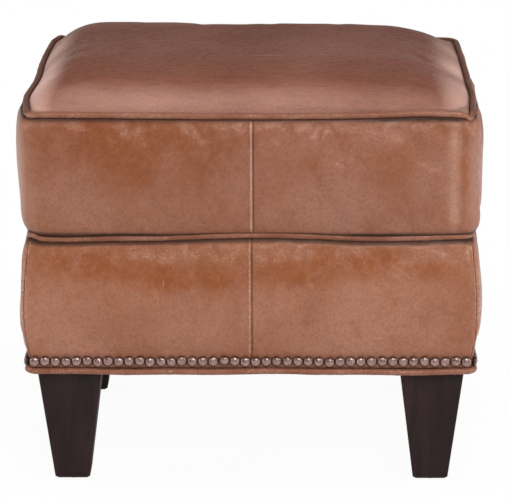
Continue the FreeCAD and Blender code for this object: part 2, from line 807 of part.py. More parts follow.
def build_cushion():
    overlap = boxing_height / 4
    boxing = boxing_body(0.0, cushion_top_z).cut(boxing_body(leather_thickness, cushion_top_z))
    low, high = cushion_bottom_z - 1, cushion_top_z + 1
    for name, sx, sy in CORNERS:
        quarter = half_space("x", sx, low, high).common(half_space("y", sy, low, high))
        save(f"boxing_panel_{name}", boxing.common(quarter))

    lining = crown_body(leather_thickness, cushion_top_z - overlap, leather_thickness)
    save("top_panel", crown_body(0.0, cushion_top_z, 0.0).cut(lining))

    fill_inset = leather_thickness + soft_clearance
    filled_sides = boxing_body(fill_inset, cushion_top_z)
    filled_crown = crown_body(fill_inset, cushion_top_z - overlap, fill_inset)
    foam_inset = fill_inset + fiber_wrap_thickness
    foam_rim_z = top_welt_z - foam_inset
    foam_sides = Plan(foam_overhang, welt_bow, foam_corner_radius).prism(cushion_bottom_z, foam_rim_z)
    foam = foam_sides.fuse(crown_body(foam_inset, foam_rim_z - overlap, foam_inset))
    save("foam_core", foam)
    save("fiber_wrap", filled_sides.fuse(filled_crown).cut(foam))


def main():
    os.makedirs(PARTS, exist_ok=True)
    rows, nail_shanks = nail_rows()
    bolts, tee_nuts = build_legs()
    build_frame(bolts, tee_nuts, nail_shanks)
    build_deck()
    build_base_cover(rows, nail_shanks)
    build_welts()
    build_cushion()


main()
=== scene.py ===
"""Looks of the upholstered footstool: leather covers, welts, nail heads, wood, cloth, camera and light."""

import math

import bpy
import numpy as np
from mathutils import Matrix, Vector


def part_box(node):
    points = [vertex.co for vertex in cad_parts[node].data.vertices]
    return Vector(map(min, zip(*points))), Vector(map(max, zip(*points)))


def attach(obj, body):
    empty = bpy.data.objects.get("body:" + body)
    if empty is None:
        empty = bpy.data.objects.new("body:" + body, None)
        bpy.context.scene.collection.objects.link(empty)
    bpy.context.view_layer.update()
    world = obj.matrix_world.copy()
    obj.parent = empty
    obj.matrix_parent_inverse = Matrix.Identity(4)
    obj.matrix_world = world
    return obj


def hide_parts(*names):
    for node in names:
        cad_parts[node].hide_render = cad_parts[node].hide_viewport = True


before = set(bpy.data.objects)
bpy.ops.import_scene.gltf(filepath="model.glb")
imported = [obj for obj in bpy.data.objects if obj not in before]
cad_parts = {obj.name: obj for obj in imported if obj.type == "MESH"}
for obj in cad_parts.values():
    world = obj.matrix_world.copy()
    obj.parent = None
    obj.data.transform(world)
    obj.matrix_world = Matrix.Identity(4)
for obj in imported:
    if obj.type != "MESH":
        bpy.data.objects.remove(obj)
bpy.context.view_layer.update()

# ---------------------------------------------------------------------------
# Sizes, in millimetres. Those of the frame, base, cushion and nails are the solid model's; the crown's
# shoulders and the seams are shaped more finely here

FRAME_HALF_X, FRAME_HALF_Y, FRAME_CORNER, FRAME_BOW = 244.5, 203.0, 4.0, 0.3
LEATHER = 1.5

BAND_GROWTH, BAND_BOW = 7.2, 0.6
BAND_CORNER = FRAME_CORNER + BAND_GROWTH
BAND_BOTTOM_Z, NAIL_Z, SIDE_NAIL_Z, SWELL_Z = 144.0, 151.9, 150.1, 158.2
BASE_PEAK_Z, BASE_ROLL_Z, BASE_TOP_Z = 210.4, 282.4, 291.4
BASE_SWELL, BASE_TOP_SWELL, BASE_TUCK = 10.5, 2.8, 5.1
BASE_BOW, BASE_CORNER = 4.0, 15.0

WELT_RADIUS, CORD_RADIUS = 3.7, 2.3
WELT_GROWTH, WELT_BOW, WELT_CORNER = 4.3, 3.5, 15.0
BOTTOM_WELT_Z, MIDDLE_WELT_Z, TOP_WELT_Z = 140.2, 295.2, 434.3

CUSHION_BOTTOM_Z, CUSHION_TOP_Z = 299.0, 430.5
BOXING_SWELL, BOXING_FULLNESS, BOXING_CORNER = 11.8, 0.29, 30.0
CROWN_HALF_X = FRAME_HALF_X + WELT_GROWTH - WELT_RADIUS
CROWN_HALF_Y = FRAME_HALF_Y + WELT_GROWTH - WELT_RADIUS
CROWN_HEIGHT, CROWN_SHOULDER = 36.0, 105.0
FRONT_SHOULDER, FRONT_REACH, FRONT_SHARE_UP = 46.0, 150.0, 0.6
RIM_FADE = 10.0  # height of crown over which the waves of the top welt fade
SEAM_TUCK = 2.2  # how far a cover's edge runs on into the welt that it is sewn to
SEAM_DRAW = 1.2  # how far the welts draw in the cushion's sides
SEAM_DEPTH, SEAM_LIP = 1.5, 0.8
TOP_GROWTH, TOP_GAP = WELT_GROWTH - WELT_RADIUS + 0.6, 0.4  # the top panel's edge, inside and over its welt
FELT_GAP, FELT_GROWTH, FELT_BACK = 5.5, 4.0, 2.9  # the base padding behind its cover and on the frame

NAILS_LONG, NAILS_SHORT, NAIL_END_INSET = 42, 35, 9.0
NAIL_FACE_X, NAIL_FACE_Y = 251.7, 210.2  # the base cover behind the nails
NAIL_REACH_X, NAIL_REACH_Y = NAIL_FACE_X - NAIL_END_INSET, NAIL_FACE_Y - NAIL_END_INSET
NAIL_RADIUS, NAIL_DOME, NAIL_SHANK, NAIL_LENGTH = 5.75, 3.6, 1.6, 12.0

# Shares of a quarter of an outline: front arc, corner, side arc
FRONT_SHARE, CORNER_SHARE = 0.44, 0.18
CORNER = FRONT_SHARE + CORNER_SHARE / 2  # the middle of the first corner
CORNERS = (CORNER, 2 - CORNER, 2 + CORNER, 4 - CORNER)

# The front seams of this stool lie a little right of the middle
BOXING_SEAM, BASE_SEAM = 0.0066, 0.0027

FRONT_FACE_Y = -150  # points in front of this belong to the front
EVEN_ROWS = 121  # rows to which a coarse ring is refined
NOISE_WAVES = 28


# ---------------------------------------------------------------------------
# Meshes


def grid_faces(rows, columns, round_rows=False, round_columns=False):
    """Quads between neighbouring points of a grid. A round direction joins its last line to its first."""
    index = np.arange(rows * columns).reshape(rows, columns)
    if round_rows:
        index = np.vstack([index, index[:1]])
    if round_columns:
        index = np.hstack([index, index[:, :1]])
    corners = [index[:-1, :-1], index[:-1, 1:], index[1:, 1:], index[1:, :-1]]
    return np.stack(corners, axis=-1).reshape(-1, 4)


def piece(name, points, faces, material, slot, fill=None, values=None):
    """A named object from points in millimetres and faces, riding on the stool in place of its solid."""
    mesh = bpy.data.meshes.new(name)
    mesh.from_pydata((np.asarray(points).reshape(-1, 3) / 1000.0).tolist(), [], [list(f) for f in faces])
    mesh.polygons.foreach_set("use_smooth", np.ones(len(mesh.polygons), dtype=bool))
    for key, numbers in (values or {}).items():
        layer = mesh.attributes.new(key, "FLOAT", "POINT")
        layer.data.foreach_set("value", np.asarray(numbers, dtype=np.float32).ravel())
    mesh.update()
    obj = bpy.data.objects.new(name, mesh)
    bpy.context.scene.collection.objects.link(obj)
    mesh.materials.append(material)
    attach(obj, "root")
    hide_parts(name)
    return obj


def thicken(obj, thickness=LEATHER, offset=-1.0):
    """Gives a cover its thickness, inwards from the visible face unless another offset is given."""
    solid = obj.modifiers.new("thickness", "SOLIDIFY")
    solid.thickness = thickness / 1000.0
    solid.offset = offset
    solid.use_rim = True


def soft_noise(points, size, seed):
    """Smooth noise, about -1 to 1: a sum of plane waves near one size in seeded directions."""
    rng = np.random.default_rng(seed)
    directions = rng.normal(size=(NOISE_WAVES, 3))
    directions /= np.linalg.norm(directions, axis=1, keepdims=True)
    lengths = size * rng.uniform(0.65, 1.8, (NOISE_WAVES, 1))
    phases = rng.uniform(0, 2 * np.pi, NOISE_WAVES)
    angle = 2 * np.pi * np.asarray(points) @ (directions / lengths).T + phases
    return np.sin(angle).sum(axis=-1) / math.sqrt(NOISE_WAVES)


def smooth(value, low, high):
    """0 below low, 1 above high and an S curve between."""
    share = np.clip((value - low) / (high - low), 0, 1)
    return share * share * (3 - 2 * share)


def eased(share, power):
    """A rise from 0 to 1 that is steep at first: 1 - (1 - share) ** power."""
    return 1 - (1 - np.clip(share, 0, 1)) ** power


def bump(value, middle, width):
    """A bell of height 1."""
    return np.exp(-(((value - middle) / width) ** 2))


def near_turn(turn, middle, width):
    """A bell along the outline, which goes round from 4 to 0."""
    return bump((turn - middle + 2) % 4 - 2, 0, width)


def curve_weights(f):
    """Catmull-Rom weights of the four values around a place that is a share f past the second."""
    return (
        -0.5 * f + f**2 - 0.5 * f**3,
        1 - 2.5 * f**2 + 1.5 * f**3,
        0.5 * f + 2 * f**2 - 1.5 * f**3,
        -0.5 * f**2 + 0.5 * f**3,
    )


def finer(field, count, axis):
    """Values on a smooth curve through the old ones along one axis, at even places."""
    size = field.shape[axis]
    place = np.linspace(0, size - 1, count)
    low = np.minimum(place.astype(int), size - 2)
    shape = [1] * field.ndim
    shape[axis] = count
    total = 0
    for step, weight in zip((-1, 0, 1, 2), curve_weights(place - low)):
        total = total + np.take(field, np.clip(low + step, 0, size - 1), axis=axis) * weight.reshape(shape)
    return total


def read_ring(field, turns, heights, bottom, top):
    """Reads a coarse ring's values, given at even heights from bottom to top, at other turns and heights."""
    count = field.shape[1]
    fine = finer(field, EVEN_ROWS, 0)
    place = (turns / 4 * count) % count
    low = np.floor(place).astype(int)
    weights = curve_weights(place - low)
    columns = sum(fine[:, (low + step) % count] * w for step, w in zip((-1, 0, 1, 2), weights))
    even = np.linspace(bottom, top, EVEN_ROWS)
    return np.stack([np.interp(heights, even, column) for column in columns.T], axis=1)


# ---------------------------------------------------------------------------
# The outline that every cover and welt follows


def round_turns(count):
    """Even places all the way round the outline."""
    return np.linspace(0, 4, count, endpoint=False)


def round_angles(count):
    """Even angles all the way round a circle."""
    return np.linspace(0, 2 * np.pi, count, endpoint=False)


def outline(growth, bow, corner, turn):
    """Points (x, y) and outward normals on a pillow-shaped outline.

    turn goes round it: 0 front middle, 1 right middle, 2 back middle, 3 left middle. A quarter is a large
    front arc, a corner arc and a large side arc, each tangent to the next; growth is how far the sides'
    middles lie beyond the frame and bow how much further out they are than the sides' ends."""
    growth, bow, corner, turn = np.broadcast_arrays(growth, bow, corner, turn)
    half_x, half_y = FRAME_HALF_X + growth, FRAME_HALF_Y + growth
    front_radius = (half_x**2 + bow**2) / (2 * bow)
    side_radius = (half_y**2 + bow**2) / (2 * bow)
    front_y, side_x = front_radius - half_y, half_x - side_radius
    to_front, to_side = front_radius - corner, side_radius - corner
    apart = np.hypot(side_x, front_y)
    along = (apart**2 + to_front**2 - to_side**2) / (2 * apart)
    across = np.sqrt(to_front**2 - along**2)
    ux, uy = side_x / apart, -front_y / apart
    corner_x = ux * along - uy * across
    corner_y = front_y + uy * along + ux * across
    front_end = np.arctan2(corner_y - front_y, corner_x)
    side_start = np.arctan2(corner_y, corner_x - side_x)

    quarter = np.floor(turn).astype(int) % 4
    share = turn - np.floor(turn)
    q = np.where(quarter % 2 == 0, share, 1 - share)
    in_front = np.clip(q / FRONT_SHARE, 0, 1)
    in_corner = np.clip((q - FRONT_SHARE) / CORNER_SHARE, 0, 1)
    in_side = np.clip((q - FRONT_SHARE - CORNER_SHARE) / (1 - FRONT_SHARE - CORNER_SHARE), 0, 1)
    is_front, is_side = q < FRONT_SHARE, q > FRONT_SHARE + CORNER_SHARE

    def pick(front, side, middle):
        return np.where(is_front, front, np.where(is_side, side, middle))

    angle = pick(
        -np.pi / 2 + in_front * (front_end + np.pi / 2),
        side_start * (1 - in_side),
        front_end + in_corner * (side_start - front_end),
    )
    radius = pick(front_radius, side_radius, corner)
    nx, ny = np.cos(angle), np.sin(angle)
    x, y = pick(0, side_x, corner_x) + radius * nx, pick(front_y, 0, corner_y) + radius * ny
    flip_x = np.where(quarter >= 2, -1, 1)
    flip_y = np.where((quarter == 1) | (quarter == 2), -1, 1)
    return x * flip_x, y * flip_y, nx * flip_x, ny * flip_y


def pushed(x, y, nx, ny, out, z):
    """Points of an outline moved outwards and set to a height, and their level normals."""
    return np.stack([x + nx * out, y + ny * out, z], axis=-1), np.stack([nx, ny, 0 * nx], axis=-1)


def bells(turn, *terms):
    """A sum of bells along the outline, each (height, middle, width)."""
    return sum(height * near_turn(turn, middle, width) for height, middle, width in terms)


def back_wave(turn, height, times, phase, width):
    """A wave along the outline that fades towards the front."""
    return height * np.sin(2 * np.pi * turn * times + phase) * near_turn(turn, 2.0, width)


def top_line(turn):
    """How far the top welt of this stool lies above and outside its drawn line: it waves and dips."""
    lift = bells(
        turn, (-1.2, 0.0, 0.2), (1.9, 0.36, 0.07), (-5.2, 0.54, 0.045), (-1.4, 3.47, 0.05), (0.8, 3.3, 0.06),
        (3.2, 2.5, 0.06),
    )
    out = bells(turn, (5.4, 3.24, 0.11), (1.6, 2.8, 0.22), (-0.9, 3.02, 0.07), (2.3, 0.77, 0.1))
    return lift + back_wave(turn, 0.9, 1.25, 0.8, 0.7), out + back_wave(turn, 0.7, 1.5, 0.4, 0.8)


def middle_line(turn):
    """How far the middle welt lies above and outside its drawn line."""
    lift = bells(
        turn, (3.4, 0.02, 0.16), (-1.1, 0.25, 0.08), (1.0, 0.45, 0.06), (-0.8, 3.79, 0.07), (-2.2, 3.6, 0.09),
        (1.0, 3.48, 0.04),
    )
    return lift + back_wave(turn, 0.8, 1.5, 2.0, 0.8), bells(turn, (0.6, 0.4, 0.1), (-0.6, 3.5, 0.08))


def bottom_line(turn):
    """How far the bottom welt lies above and outside its drawn line."""
    lift = 0.5 * np.sin(2 * np.pi * turn * 2 + 1.0) + 0.35 * np.sin(2 * np.pi * turn * 5 + 0.3)
    return lift, 0.25 * np.sin(2 * np.pi * turn * 3 + 2.1)


# ---------------------------------------------------------------------------
# Shapes of the covers


def boxing_wall(turn, share, inset=0.0):
    """The cushion's side at turn and share of its height, as points and outward normals.

    It puffs out beyond both welts by swell * (4 s (1 - s)) ** fullness, and its corners grow rounder there."""
    full = (4 * share * (1 - share)) ** BOXING_FULLNESS
    growth = WELT_GROWTH - SEAM_DRAW + (BOXING_SWELL + SEAM_DRAW) * full - inset
    corner = WELT_CORNER + (BOXING_CORNER - WELT_CORNER) * full
    x, y, nx, ny = outline(growth, WELT_BOW, corner, turn)
    top_lift, top_out = top_line(turn)
    low_lift, low_out = middle_line(turn)
    high, low = smooth(share, 0.62, 1.0), smooth(1 - share, 0.72, 1.0)
    z = CUSHION_BOTTOM_Z + (CUSHION_TOP_Z - CUSHION_BOTTOM_Z) * share + top_lift * high + low_lift * low
    z = z + SEAM_TUCK * (smooth(share, 0.97, 1.0) - smooth(1 - share, 0.97, 1.0))
    left, right = smooth(-nx, 0.2, 0.95), smooth(nx, 0.2, 0.95)
    middle = bump(share, 0.5, 0.3)
    out = top_out * smooth(share, 0.35, 1.0) + low_out * low
    out = out + left * (1.0 * middle - 1.8 * low) + right * (-1.0 * middle + 2.0 * low)
    return pushed(x, y, nx, ny, out, z)


def base_growth(z):
    """Growth, bow and corner radius of the base cover at height z: straight behind the nails, then swelling
    to its widest by a power curve, drawn in again above and rolled under at the top."""
    wide, top = BAND_GROWTH + BASE_SWELL, BAND_GROWTH + BASE_TOP_SWELL
    low = np.clip((BASE_PEAK_Z - z) / (BASE_PEAK_Z - SWELL_Z), 0, 1)
    high = np.clip((z - BASE_PEAK_Z) / (BASE_ROLL_Z - BASE_PEAK_Z), 0, 1)
    roll = np.clip((z - BASE_ROLL_Z) / (BASE_TOP_Z - BASE_ROLL_Z), 0, 1)
    growth = np.where(z < BASE_PEAK_Z, wide - BASE_SWELL * low**2.4, wide - (wide - top) * high**2)
    full = np.where(z < BASE_PEAK_Z, 1 - low**2, 1 - 0.3 * high**2)
    bow = BAND_BOW + (BASE_BOW - BAND_BOW) * full
    return growth - BASE_TUCK * roll**2, bow, BAND_CORNER + (BASE_CORNER - BAND_CORNER) * full


def base_wall(turn, z):
    """The base cover at turn and height z, as points and outward normals."""
    x, y, nx, ny = outline(*base_growth(z), turn)
    lift, out = middle_line(turn)
    high = smooth(z, 268, 291)
    height = z + lift * high + SEAM_TUCK * smooth(z, BASE_TOP_Z - 2.0, BASE_TOP_Z)
    return pushed(x, y, nx, ny, out * high, height)


def crown_height(x, y):
    """Height of the crowned top: rise * F(dx) * F(dy), with F(d) = 1 - (1 - d / shoulder) ** 3.

    The left shoulder is short and square, the right one long and easy, as on the stool in the picture. At the
    front F is in two parts: a short steep roll over the welt, squared, and a long gentle rise behind it."""
    share_x, share_y = x / CROWN_HALF_X, y / CROWN_HALF_Y
    _, out_x = top_line(np.where(x > 0, 1 + 0.39 * share_y, 3 - 0.39 * share_y))
    _, out_y = top_line(np.where(y < 0, 0.45 * share_x, 2 - 0.45 * share_x))
    dx = CROWN_HALF_X + out_x - WELT_BOW * share_y**2 - np.abs(x)
    dy = CROWN_HALF_Y + out_y - WELT_BOW * share_x**2 - np.abs(y)
    shoulder_x = CROWN_SHOULDER + np.where(x < 0, -27.0, 16.0) * smooth(np.abs(x), 0, 120)
    front = FRONT_SHARE_UP * eased(dy / FRONT_SHOULDER, 2) + (1 - FRONT_SHARE_UP) * eased(dy / FRONT_REACH, 2)
    fy = np.where(y < 0, front, eased(dy / CROWN_SHOULDER, 3))
    tilt = 1.6 * smooth(-x, 20, 160) - 2.6 * smooth(x, 10, 190)
    middle = 0.8 * bump(x, 0, 160) * bump(y, 0, 120)
    return (CROWN_HEIGHT + tilt + middle) * eased(dx / shoulder_x, 3) * fy


def crown_patch(columns, rows):
    """x, y and lift of a grid that fills the top's outline: a Coons patch between its four sides, which meet
    in the middle of each corner."""

    def side(start, end, count):
        turns = np.linspace(start, end, count)
        lift, out = top_line(turns)
        return pushed(*outline(TOP_GROWTH, WELT_BOW, WELT_CORNER - WELT_RADIUS, turns), out, lift)[0]

    front = side(-CORNER, CORNER, columns)
    back = side(2 + CORNER, 2 - CORNER, columns)
    left = side(4 - CORNER, 2 + CORNER, rows)
    right = side(CORNER, 2 - CORNER, rows)
    u, v = np.linspace(0, 1, columns)[None, :, None], np.linspace(0, 1, rows)[:, None, None]
    blend = (1 - v) * front[None] + v * back[None] + (1 - u) * left[:, None] + u * right[:, None]
    corners = (
        (1 - u) * (1 - v) * front[0] + u * (1 - v) * front[-1] + (1 - u) * v * back[0] + u * v * back[-1]
    )
    return blend - corners


# ---------------------------------------------------------------------------
# Cloth: the covers are cut a little large, sewn down at their seams and pressed out from inside

CLOTH_FRAMES = 20
CLOTH = {
    "quality": 5, "mass": 0.3, "tension_stiffness": 30, "compression_stiffness": 30, "shear_stiffness": 12,
    "bending_stiffness": 1.5, "vertex_group_mass": "held", "pin_stiffness": 1.0, "use_pressure": True,
    "uniform_pressure_force": 4.0,
}
HOLD_LEVELS = 10

# By how much a cover is cut large, and the limit of its puckers in millimetres
BOXING_LOOSE, BOXING_PUCKER = 0.03, 1.8
BASE_LOOSE, BASE_PUCKER = 0.02, 1.5
TOP_LOOSE, TOP_PUCKER = 0.012, 4.0


def press_out(points, faces, hold, looseness):
    """Moves a copy of a cover as cloth and returns how far each of its points went, in millimetres.

    hold is 1 where the leather is sewn down and 0 where it is free."""
    mesh = bpy.data.meshes.new("trial_cover")
    mesh.from_pydata((points / 1000.0).tolist(), [], faces.tolist())
    trial = bpy.data.objects.new("trial_cover", mesh)
    scene = bpy.context.scene
    scene.collection.objects.link(trial)
    held = trial.vertex_groups.new(name="held")
    levels = np.round(hold * HOLD_LEVELS).astype(int)
    for level in np.unique(levels):
        held.add(np.flatnonzero(levels == level).tolist(), level / HOLD_LEVELS, "REPLACE")
    cloth = trial.modifiers.new("cloth", "CLOTH")
    for key, value in CLOTH.items():
        setattr(cloth.settings, key, value)
    cloth.settings.shrink_min = -looseness
    cloth.settings.effector_weights.gravity = 0
    cloth.collision_settings.use_collision = False
    cloth.point_cache.frame_start, cloth.point_cache.frame_end = 1, CLOTH_FRAMES
    for number in range(1, CLOTH_FRAMES + 1):
        scene.frame_set(number)
    settled = trial.evaluated_get(bpy.context.evaluated_depsgraph_get()).data
    after = np.empty(len(points) * 3)
    settled.vertices.foreach_get("co", after)
    scene.frame_set(1)
    bpy.data.objects.remove(trial)
    bpy.data.meshes.remove(mesh)
    return after.reshape(-1, 3) * 1000.0 - points


def capped(move, most):
    """Limits a movement softly."""
    return most * np.tanh(move / most)


def wall_pucker(points, normals, hold, looseness, most):
    """Outward movement of a closed ring of cover from the cloth run, less the mean of each row, so that the
    puckers stay and the outline keeps its measured size."""
    rows, columns = points.shape[:2]
    faces = grid_faces(rows, columns, round_columns=True)
    move = press_out(points.reshape(-1, 3), faces, hold.ravel(), looseness)
    outward = (move.reshape(rows, columns, 3) * normals).sum(axis=-1)
    return capped(outward - outward.mean(axis=1, keepdims=True), most)


def top_pucker(columns=80, rows=66):
    """Upward movement of the top from the cloth run, less its broad crown, on a coarse grid."""
    points = crown_patch(columns, rows)
    points[..., 2] += TOP_WELT_Z + crown_height(points[..., 0], points[..., 1])
    hold = np.ones((rows, columns))
    hold[1:-1, 1:-1] = 0
    move = press_out(points.reshape(-1, 3), grid_faces(rows, columns), hold.ravel(), TOP_LOOSE)
    move = capped(move[:, 2], TOP_PUCKER)
    u, v = np.meshgrid(np.linspace(-1, 1, columns), np.linspace(-1, 1, rows))
    basis = np.stack([0 * u + 1, u**2, v**2, u**2 * v**2], axis=-1).reshape(-1, 4)
    broad = basis @ np.linalg.lstsq(basis, move, rcond=None)[0]
    return (move - broad).reshape(rows, columns) * smooth(1 - np.maximum(abs(u), abs(v)), 0, 0.06)


# ---------------------------------------------------------------------------
# Shader nodes


class Wire:
    """A socket in a finish. Sums, differences and products add Math nodes."""

    def __init__(self, finish, socket):
        self.finish, self.socket = finish, socket

    def math(self, operation, *values):
        return self.finish.node("ShaderNodeMath", {"operation": operation}, dict(enumerate(values)))

    def __add__(self, other):
        return self.math("ADD", self, other)

    def __sub__(self, other):
        return self.math("SUBTRACT", self, other)

    def __rsub__(self, other):
        return self.math("SUBTRACT", other, self)

    def __mul__(self, other):
        return self.math("MULTIPLY", self, other)

    def most(self, other):
        return self.math("MAXIMUM", self, other)

    def least(self, other):
        return self.math("MINIMUM", self, other)

    def sine(self):
        return self.math("SINE", self)


class Finish:
    """The emptied node tree of a new material, or of the owner given."""

    def __init__(self, name, owner=None):
        self.owner = owner or bpy.data.materials.new(name)
        self.owner.use_nodes = True
        self.tree = self.owner.node_tree
        self.tree.nodes.clear()

    def node(self, kind, settings=None, sockets=None, output=0):
        """Adds a node: first its settings, then the values or links of its sockets. Returns an output."""
        made = self.tree.nodes.new(kind)
        for key, value in (settings or {}).items():
            setattr(made, key, value)
        for key, value in (sockets or {}).items():
            if isinstance(value, Wire):
                self.tree.links.new(value.socket, made.inputs[key])
            else:
                made.inputs[key].default_value = value
        return Wire(self, made.outputs[output]) if made.outputs else None

    def place(self):
        """Object coordinates, in metres."""
        return self.node("ShaderNodeTexCoord", output="Object")

    def stretched(self, place, scale, turn=(0.0, 0.0, 0.0)):
        """A place scaled and turned."""
        return self.node("ShaderNodeMapping", {}, {"Vector": place, "Scale": scale, "Rotation": turn})

    def noise(self, place, scale, detail=2.0, roughness=0.5, distortion=0.0):
        """Noise in lumps of about 1 / scale metres."""
        inputs = {"Vector": place, "Scale": scale, "Detail": detail, "Roughness": roughness, "Distortion": distortion}
        return self.node("ShaderNodeTexNoise", {}, inputs)

    def streaks(self, place, scale, detail=2.0, roughness=0.5, distortion=0.0, turn=(0.0, 0.0, 0.0)):
        """Noise with a scale of its own in each direction."""
        return self.noise(self.stretched(place, scale, turn), 1.0, detail, roughness, distortion)

    def cells(self, place, scale, feature="F1", smoothness=None):
        """Voronoi cells of about 1 / scale metres."""
        inputs = {"Vector": place, "Scale": scale}
        if smoothness is not None:
            inputs["Smoothness"] = smoothness
        return self.node("ShaderNodeTexVoronoi", {"feature": feature}, inputs)

    def step(self, value, low, high, start=0.0, end=1.0):
        """An S curve from start, below low, to end, above high."""
        inputs = {"Value": value, "From Min": low, "From Max": high, "To Min": start, "To Max": end}
        return self.node("ShaderNodeMapRange", {"interpolation_type": "SMOOTHSTEP"}, inputs)

    def value(self, name):
        """One of the piece's own values, made with its mesh."""
        return self.node("ShaderNodeAttribute", {"attribute_name": name}, output="Fac")

    def part(self, place, axis):
        """One coordinate of a place."""
        return self.node("ShaderNodeSeparateXYZ", {}, {0: place}, output=axis)

    def blend(self, share, first, second):
        """Mixes two colours."""
        first, second = (c if isinstance(c, Wire) else (*c, 1.0) for c in (first, second))
        return self.node("ShaderNodeMix", {"data_type": "RGBA"}, {0: share, 6: first, 7: second}, output=2)

    def tinted(self, colour, tint, texture, low, high, most):
        """Turns a colour towards a tint, by up to most, as a texture goes from low to high."""
        return self.blend(self.step(texture, low, high, 0.0, most), colour, tint)

    def bump(self, height, distance, strength=1.0, below=None):
        """A relief of a height times a distance in metres, on top of another relief if there is one."""
        inputs = {"Height": height, "Distance": distance, "Strength": strength}
        if below is not None:
            inputs["Normal"] = below
        return self.node("ShaderNodeBump", {}, inputs)

    def surface(self, **sockets):
        """The Principled shader and the output. Underscores in the names stand for spaces."""
        inputs = {}
        for key, value in sockets.items():
            inputs[key.replace("_", " ")] = (*value, 1.0) if isinstance(value, tuple) else value
        shader = self.node("ShaderNodeBsdfPrincipled", {}, inputs)
        self.node("ShaderNodeOutputMaterial", {}, {"Surface": shader})
        return self.owner


def shaded(colour, share):
    """A colour made darker or lighter."""
    return tuple(min(1.0, c * share) for c in colour)


def leather(name, deep, warm, haze, pale, seed, streaks=0.0, specular=0.32, rough=0.38, coat=0.08, broken=0.7):
    """Waxed pull-up leather: broad shade changes, warm patches, a pebble grain, hair-fine scratches, paler
    rubbed places with painted highlights, and painted shade, near black, at the seams and in the creases.

    warm colours the patches stored with the piece, haze the hazy broad areas and pale the rubbed places and
    painted highlights, which the grain breaks up by the share broken."""
    f = Finish(name)
    place = f.node("ShaderNodeVectorMath", {"operation": "ADD"}, {0: f.place(), 1: (seed, seed * 0.7, -seed)})
    broad = f.noise(place, 8.0, 3.0, 0.55)
    blotch = f.noise(place, 34.0, 4.0, 0.6, 0.4)
    mottle = f.noise(place, 150.0, 3.0, 0.6)
    fine = f.noise(place, 520.0, 2.0, 0.6)
    pebble = f.cells(place, 560.0, "SMOOTH_F1", 0.35)
    grain = f.cells(place, 330.0, "SMOOTH_F1", 0.3)
    crease = f.cells(f.stretched(place, (1.0, 1.0, 0.8)), 210.0, "DISTANCE_TO_EDGE")

    patch = f.value("patch") * f.step(blotch, 0.28, 0.62, 0.35, 1.2)
    colour = f.blend(f.step(broad, 0.38, 0.66), deep, haze)
    colour = f.blend(patch.least(1.0), colour, warm)
    colour = f.tinted(colour, warm, blotch, 0.5, 0.74, 0.45)
    colour = f.tinted(colour, haze, mottle, 0.42, 0.75, 0.38)
    colour = f.tinted(colour, shaded(deep, 0.62), mottle, 0.5, 0.25, 0.32)
    colour = f.tinted(colour, shaded(deep, 0.6), fine, 0.5, 0.2, 0.25)
    colour = f.tinted(colour, shaded(deep, 0.55), grain, 0.35, 0.75, 0.2)
    colour = f.tinted(colour, shaded(deep, 0.5), crease, 0.07, 0.0, 0.16)
    if streaks:
        lines = f.streaks(place, (22.0, 260.0, 260.0), 3.0, 0.6)
        colour = f.tinted(colour, haze, lines, 0.52, 0.8, streaks)
        colour = f.tinted(colour, shaded(deep, 0.6), lines, 0.48, 0.25, streaks)

    slant = f.streaks(place, (330.0, 330.0, 40.0), 2.0, 0.55, turn=(0.0, 0.62, 0.0))
    level = f.streaks(place, (34.0, 300.0, 300.0), 2.0, 0.55, turn=(0.0, -0.15, 0.3))
    scratch = f.step(slant, 0.70, 0.78) * f.step(blotch, 0.42, 0.6)
    scratch = scratch.most(f.step(level, 0.72, 0.79) * f.step(broad, 0.45, 0.6))
    colour = f.blend(scratch * 0.35, colour, pale)
    # Paler where the piece's value of wear and sheen is high: rubbed places, and painted highlights and reflections
    wear_and_sheen = f.value("wear_and_sheen") * f.step(grain, 0.5, 0.15, 1 - broken, 1 + 0.3 * broken)
    colour = f.blend(wear_and_sheen.least(1.0) * 0.75, colour, pale)
    # Painted shade: the piece's shade value turns the colour near black in seams, creases and along the welts
    shade = f.value("shade")
    colour = f.blend(shade.least(1.0) * 0.92, colour, (0.012, 0.0035, 0.0015))

    height = pebble * -0.55 + fine * 0.45 + f.step(crease, 0.0, 0.12) * 0.5 - grain * 0.9
    relief = f.bump(height, 0.0004, 0.6)
    relief = f.bump(f.noise(place, 70.0, 3.0, 0.55, 0.6), 0.0018, 0.5, relief)
    relief = f.bump(f.streaks(place, (60.0, 60.0, 20.0), turn=(0.0, 0.5, 0.0)), 0.0016, 0.25, relief)
    roughness = f.step(mottle, 0.3, 0.7, rough + 0.06, rough - 0.06) + patch * 0.05 + shade * 0.3
    return f.surface(
        Base_Color=colour, Roughness=roughness, Specular_IOR_Level=specular, Specular_Tint=(1.0, 0.76, 0.64),
        Coat_Weight=f.step(broad, 0.35, 0.65, coat * 0.5, coat * 1.5), Coat_Roughness=0.28, Coat_IOR=1.45,
        Normal=relief,
    )


def nail_finish():
    """Antique bronze: dark in the pits and at the rim, there from patina and painted contact shadow; rubbed pinkish on
    the dome.
    """
    f = Finish("antique_nail_bronze")
    place = f.place()
    edge = f.value("edge")
    spots = f.noise(place, 420.0, 3.0, 0.65)
    colour = f.blend(f.step(spots, 0.35, 0.7), (0.24, 0.15, 0.135), (0.44, 0.30, 0.275))
    colour = f.tinted(colour, (0.27, 0.165, 0.125), f.noise(place, 60.0, 2.0, 0.5), 0.4, 0.7, 0.6)
    # Near black towards the rim: patina and painted contact shadow
    colour = f.tinted(colour, (0.030, 0.016, 0.013), edge, 0.35, 0.95, 0.92)
    relief = f.bump(f.noise(place, 900.0, 2.0, 0.5), 0.0002, 0.3, f.bump(spots, 0.00035, 0.6))
    return f.surface(
        Base_Color=colour, Metallic=f.step(edge, 0.6, 1.0, 0.9, 0.5), Normal=relief,
        Roughness=f.step(spots, 0.3, 0.7, 0.27, 0.38) + edge * 0.15,
    )


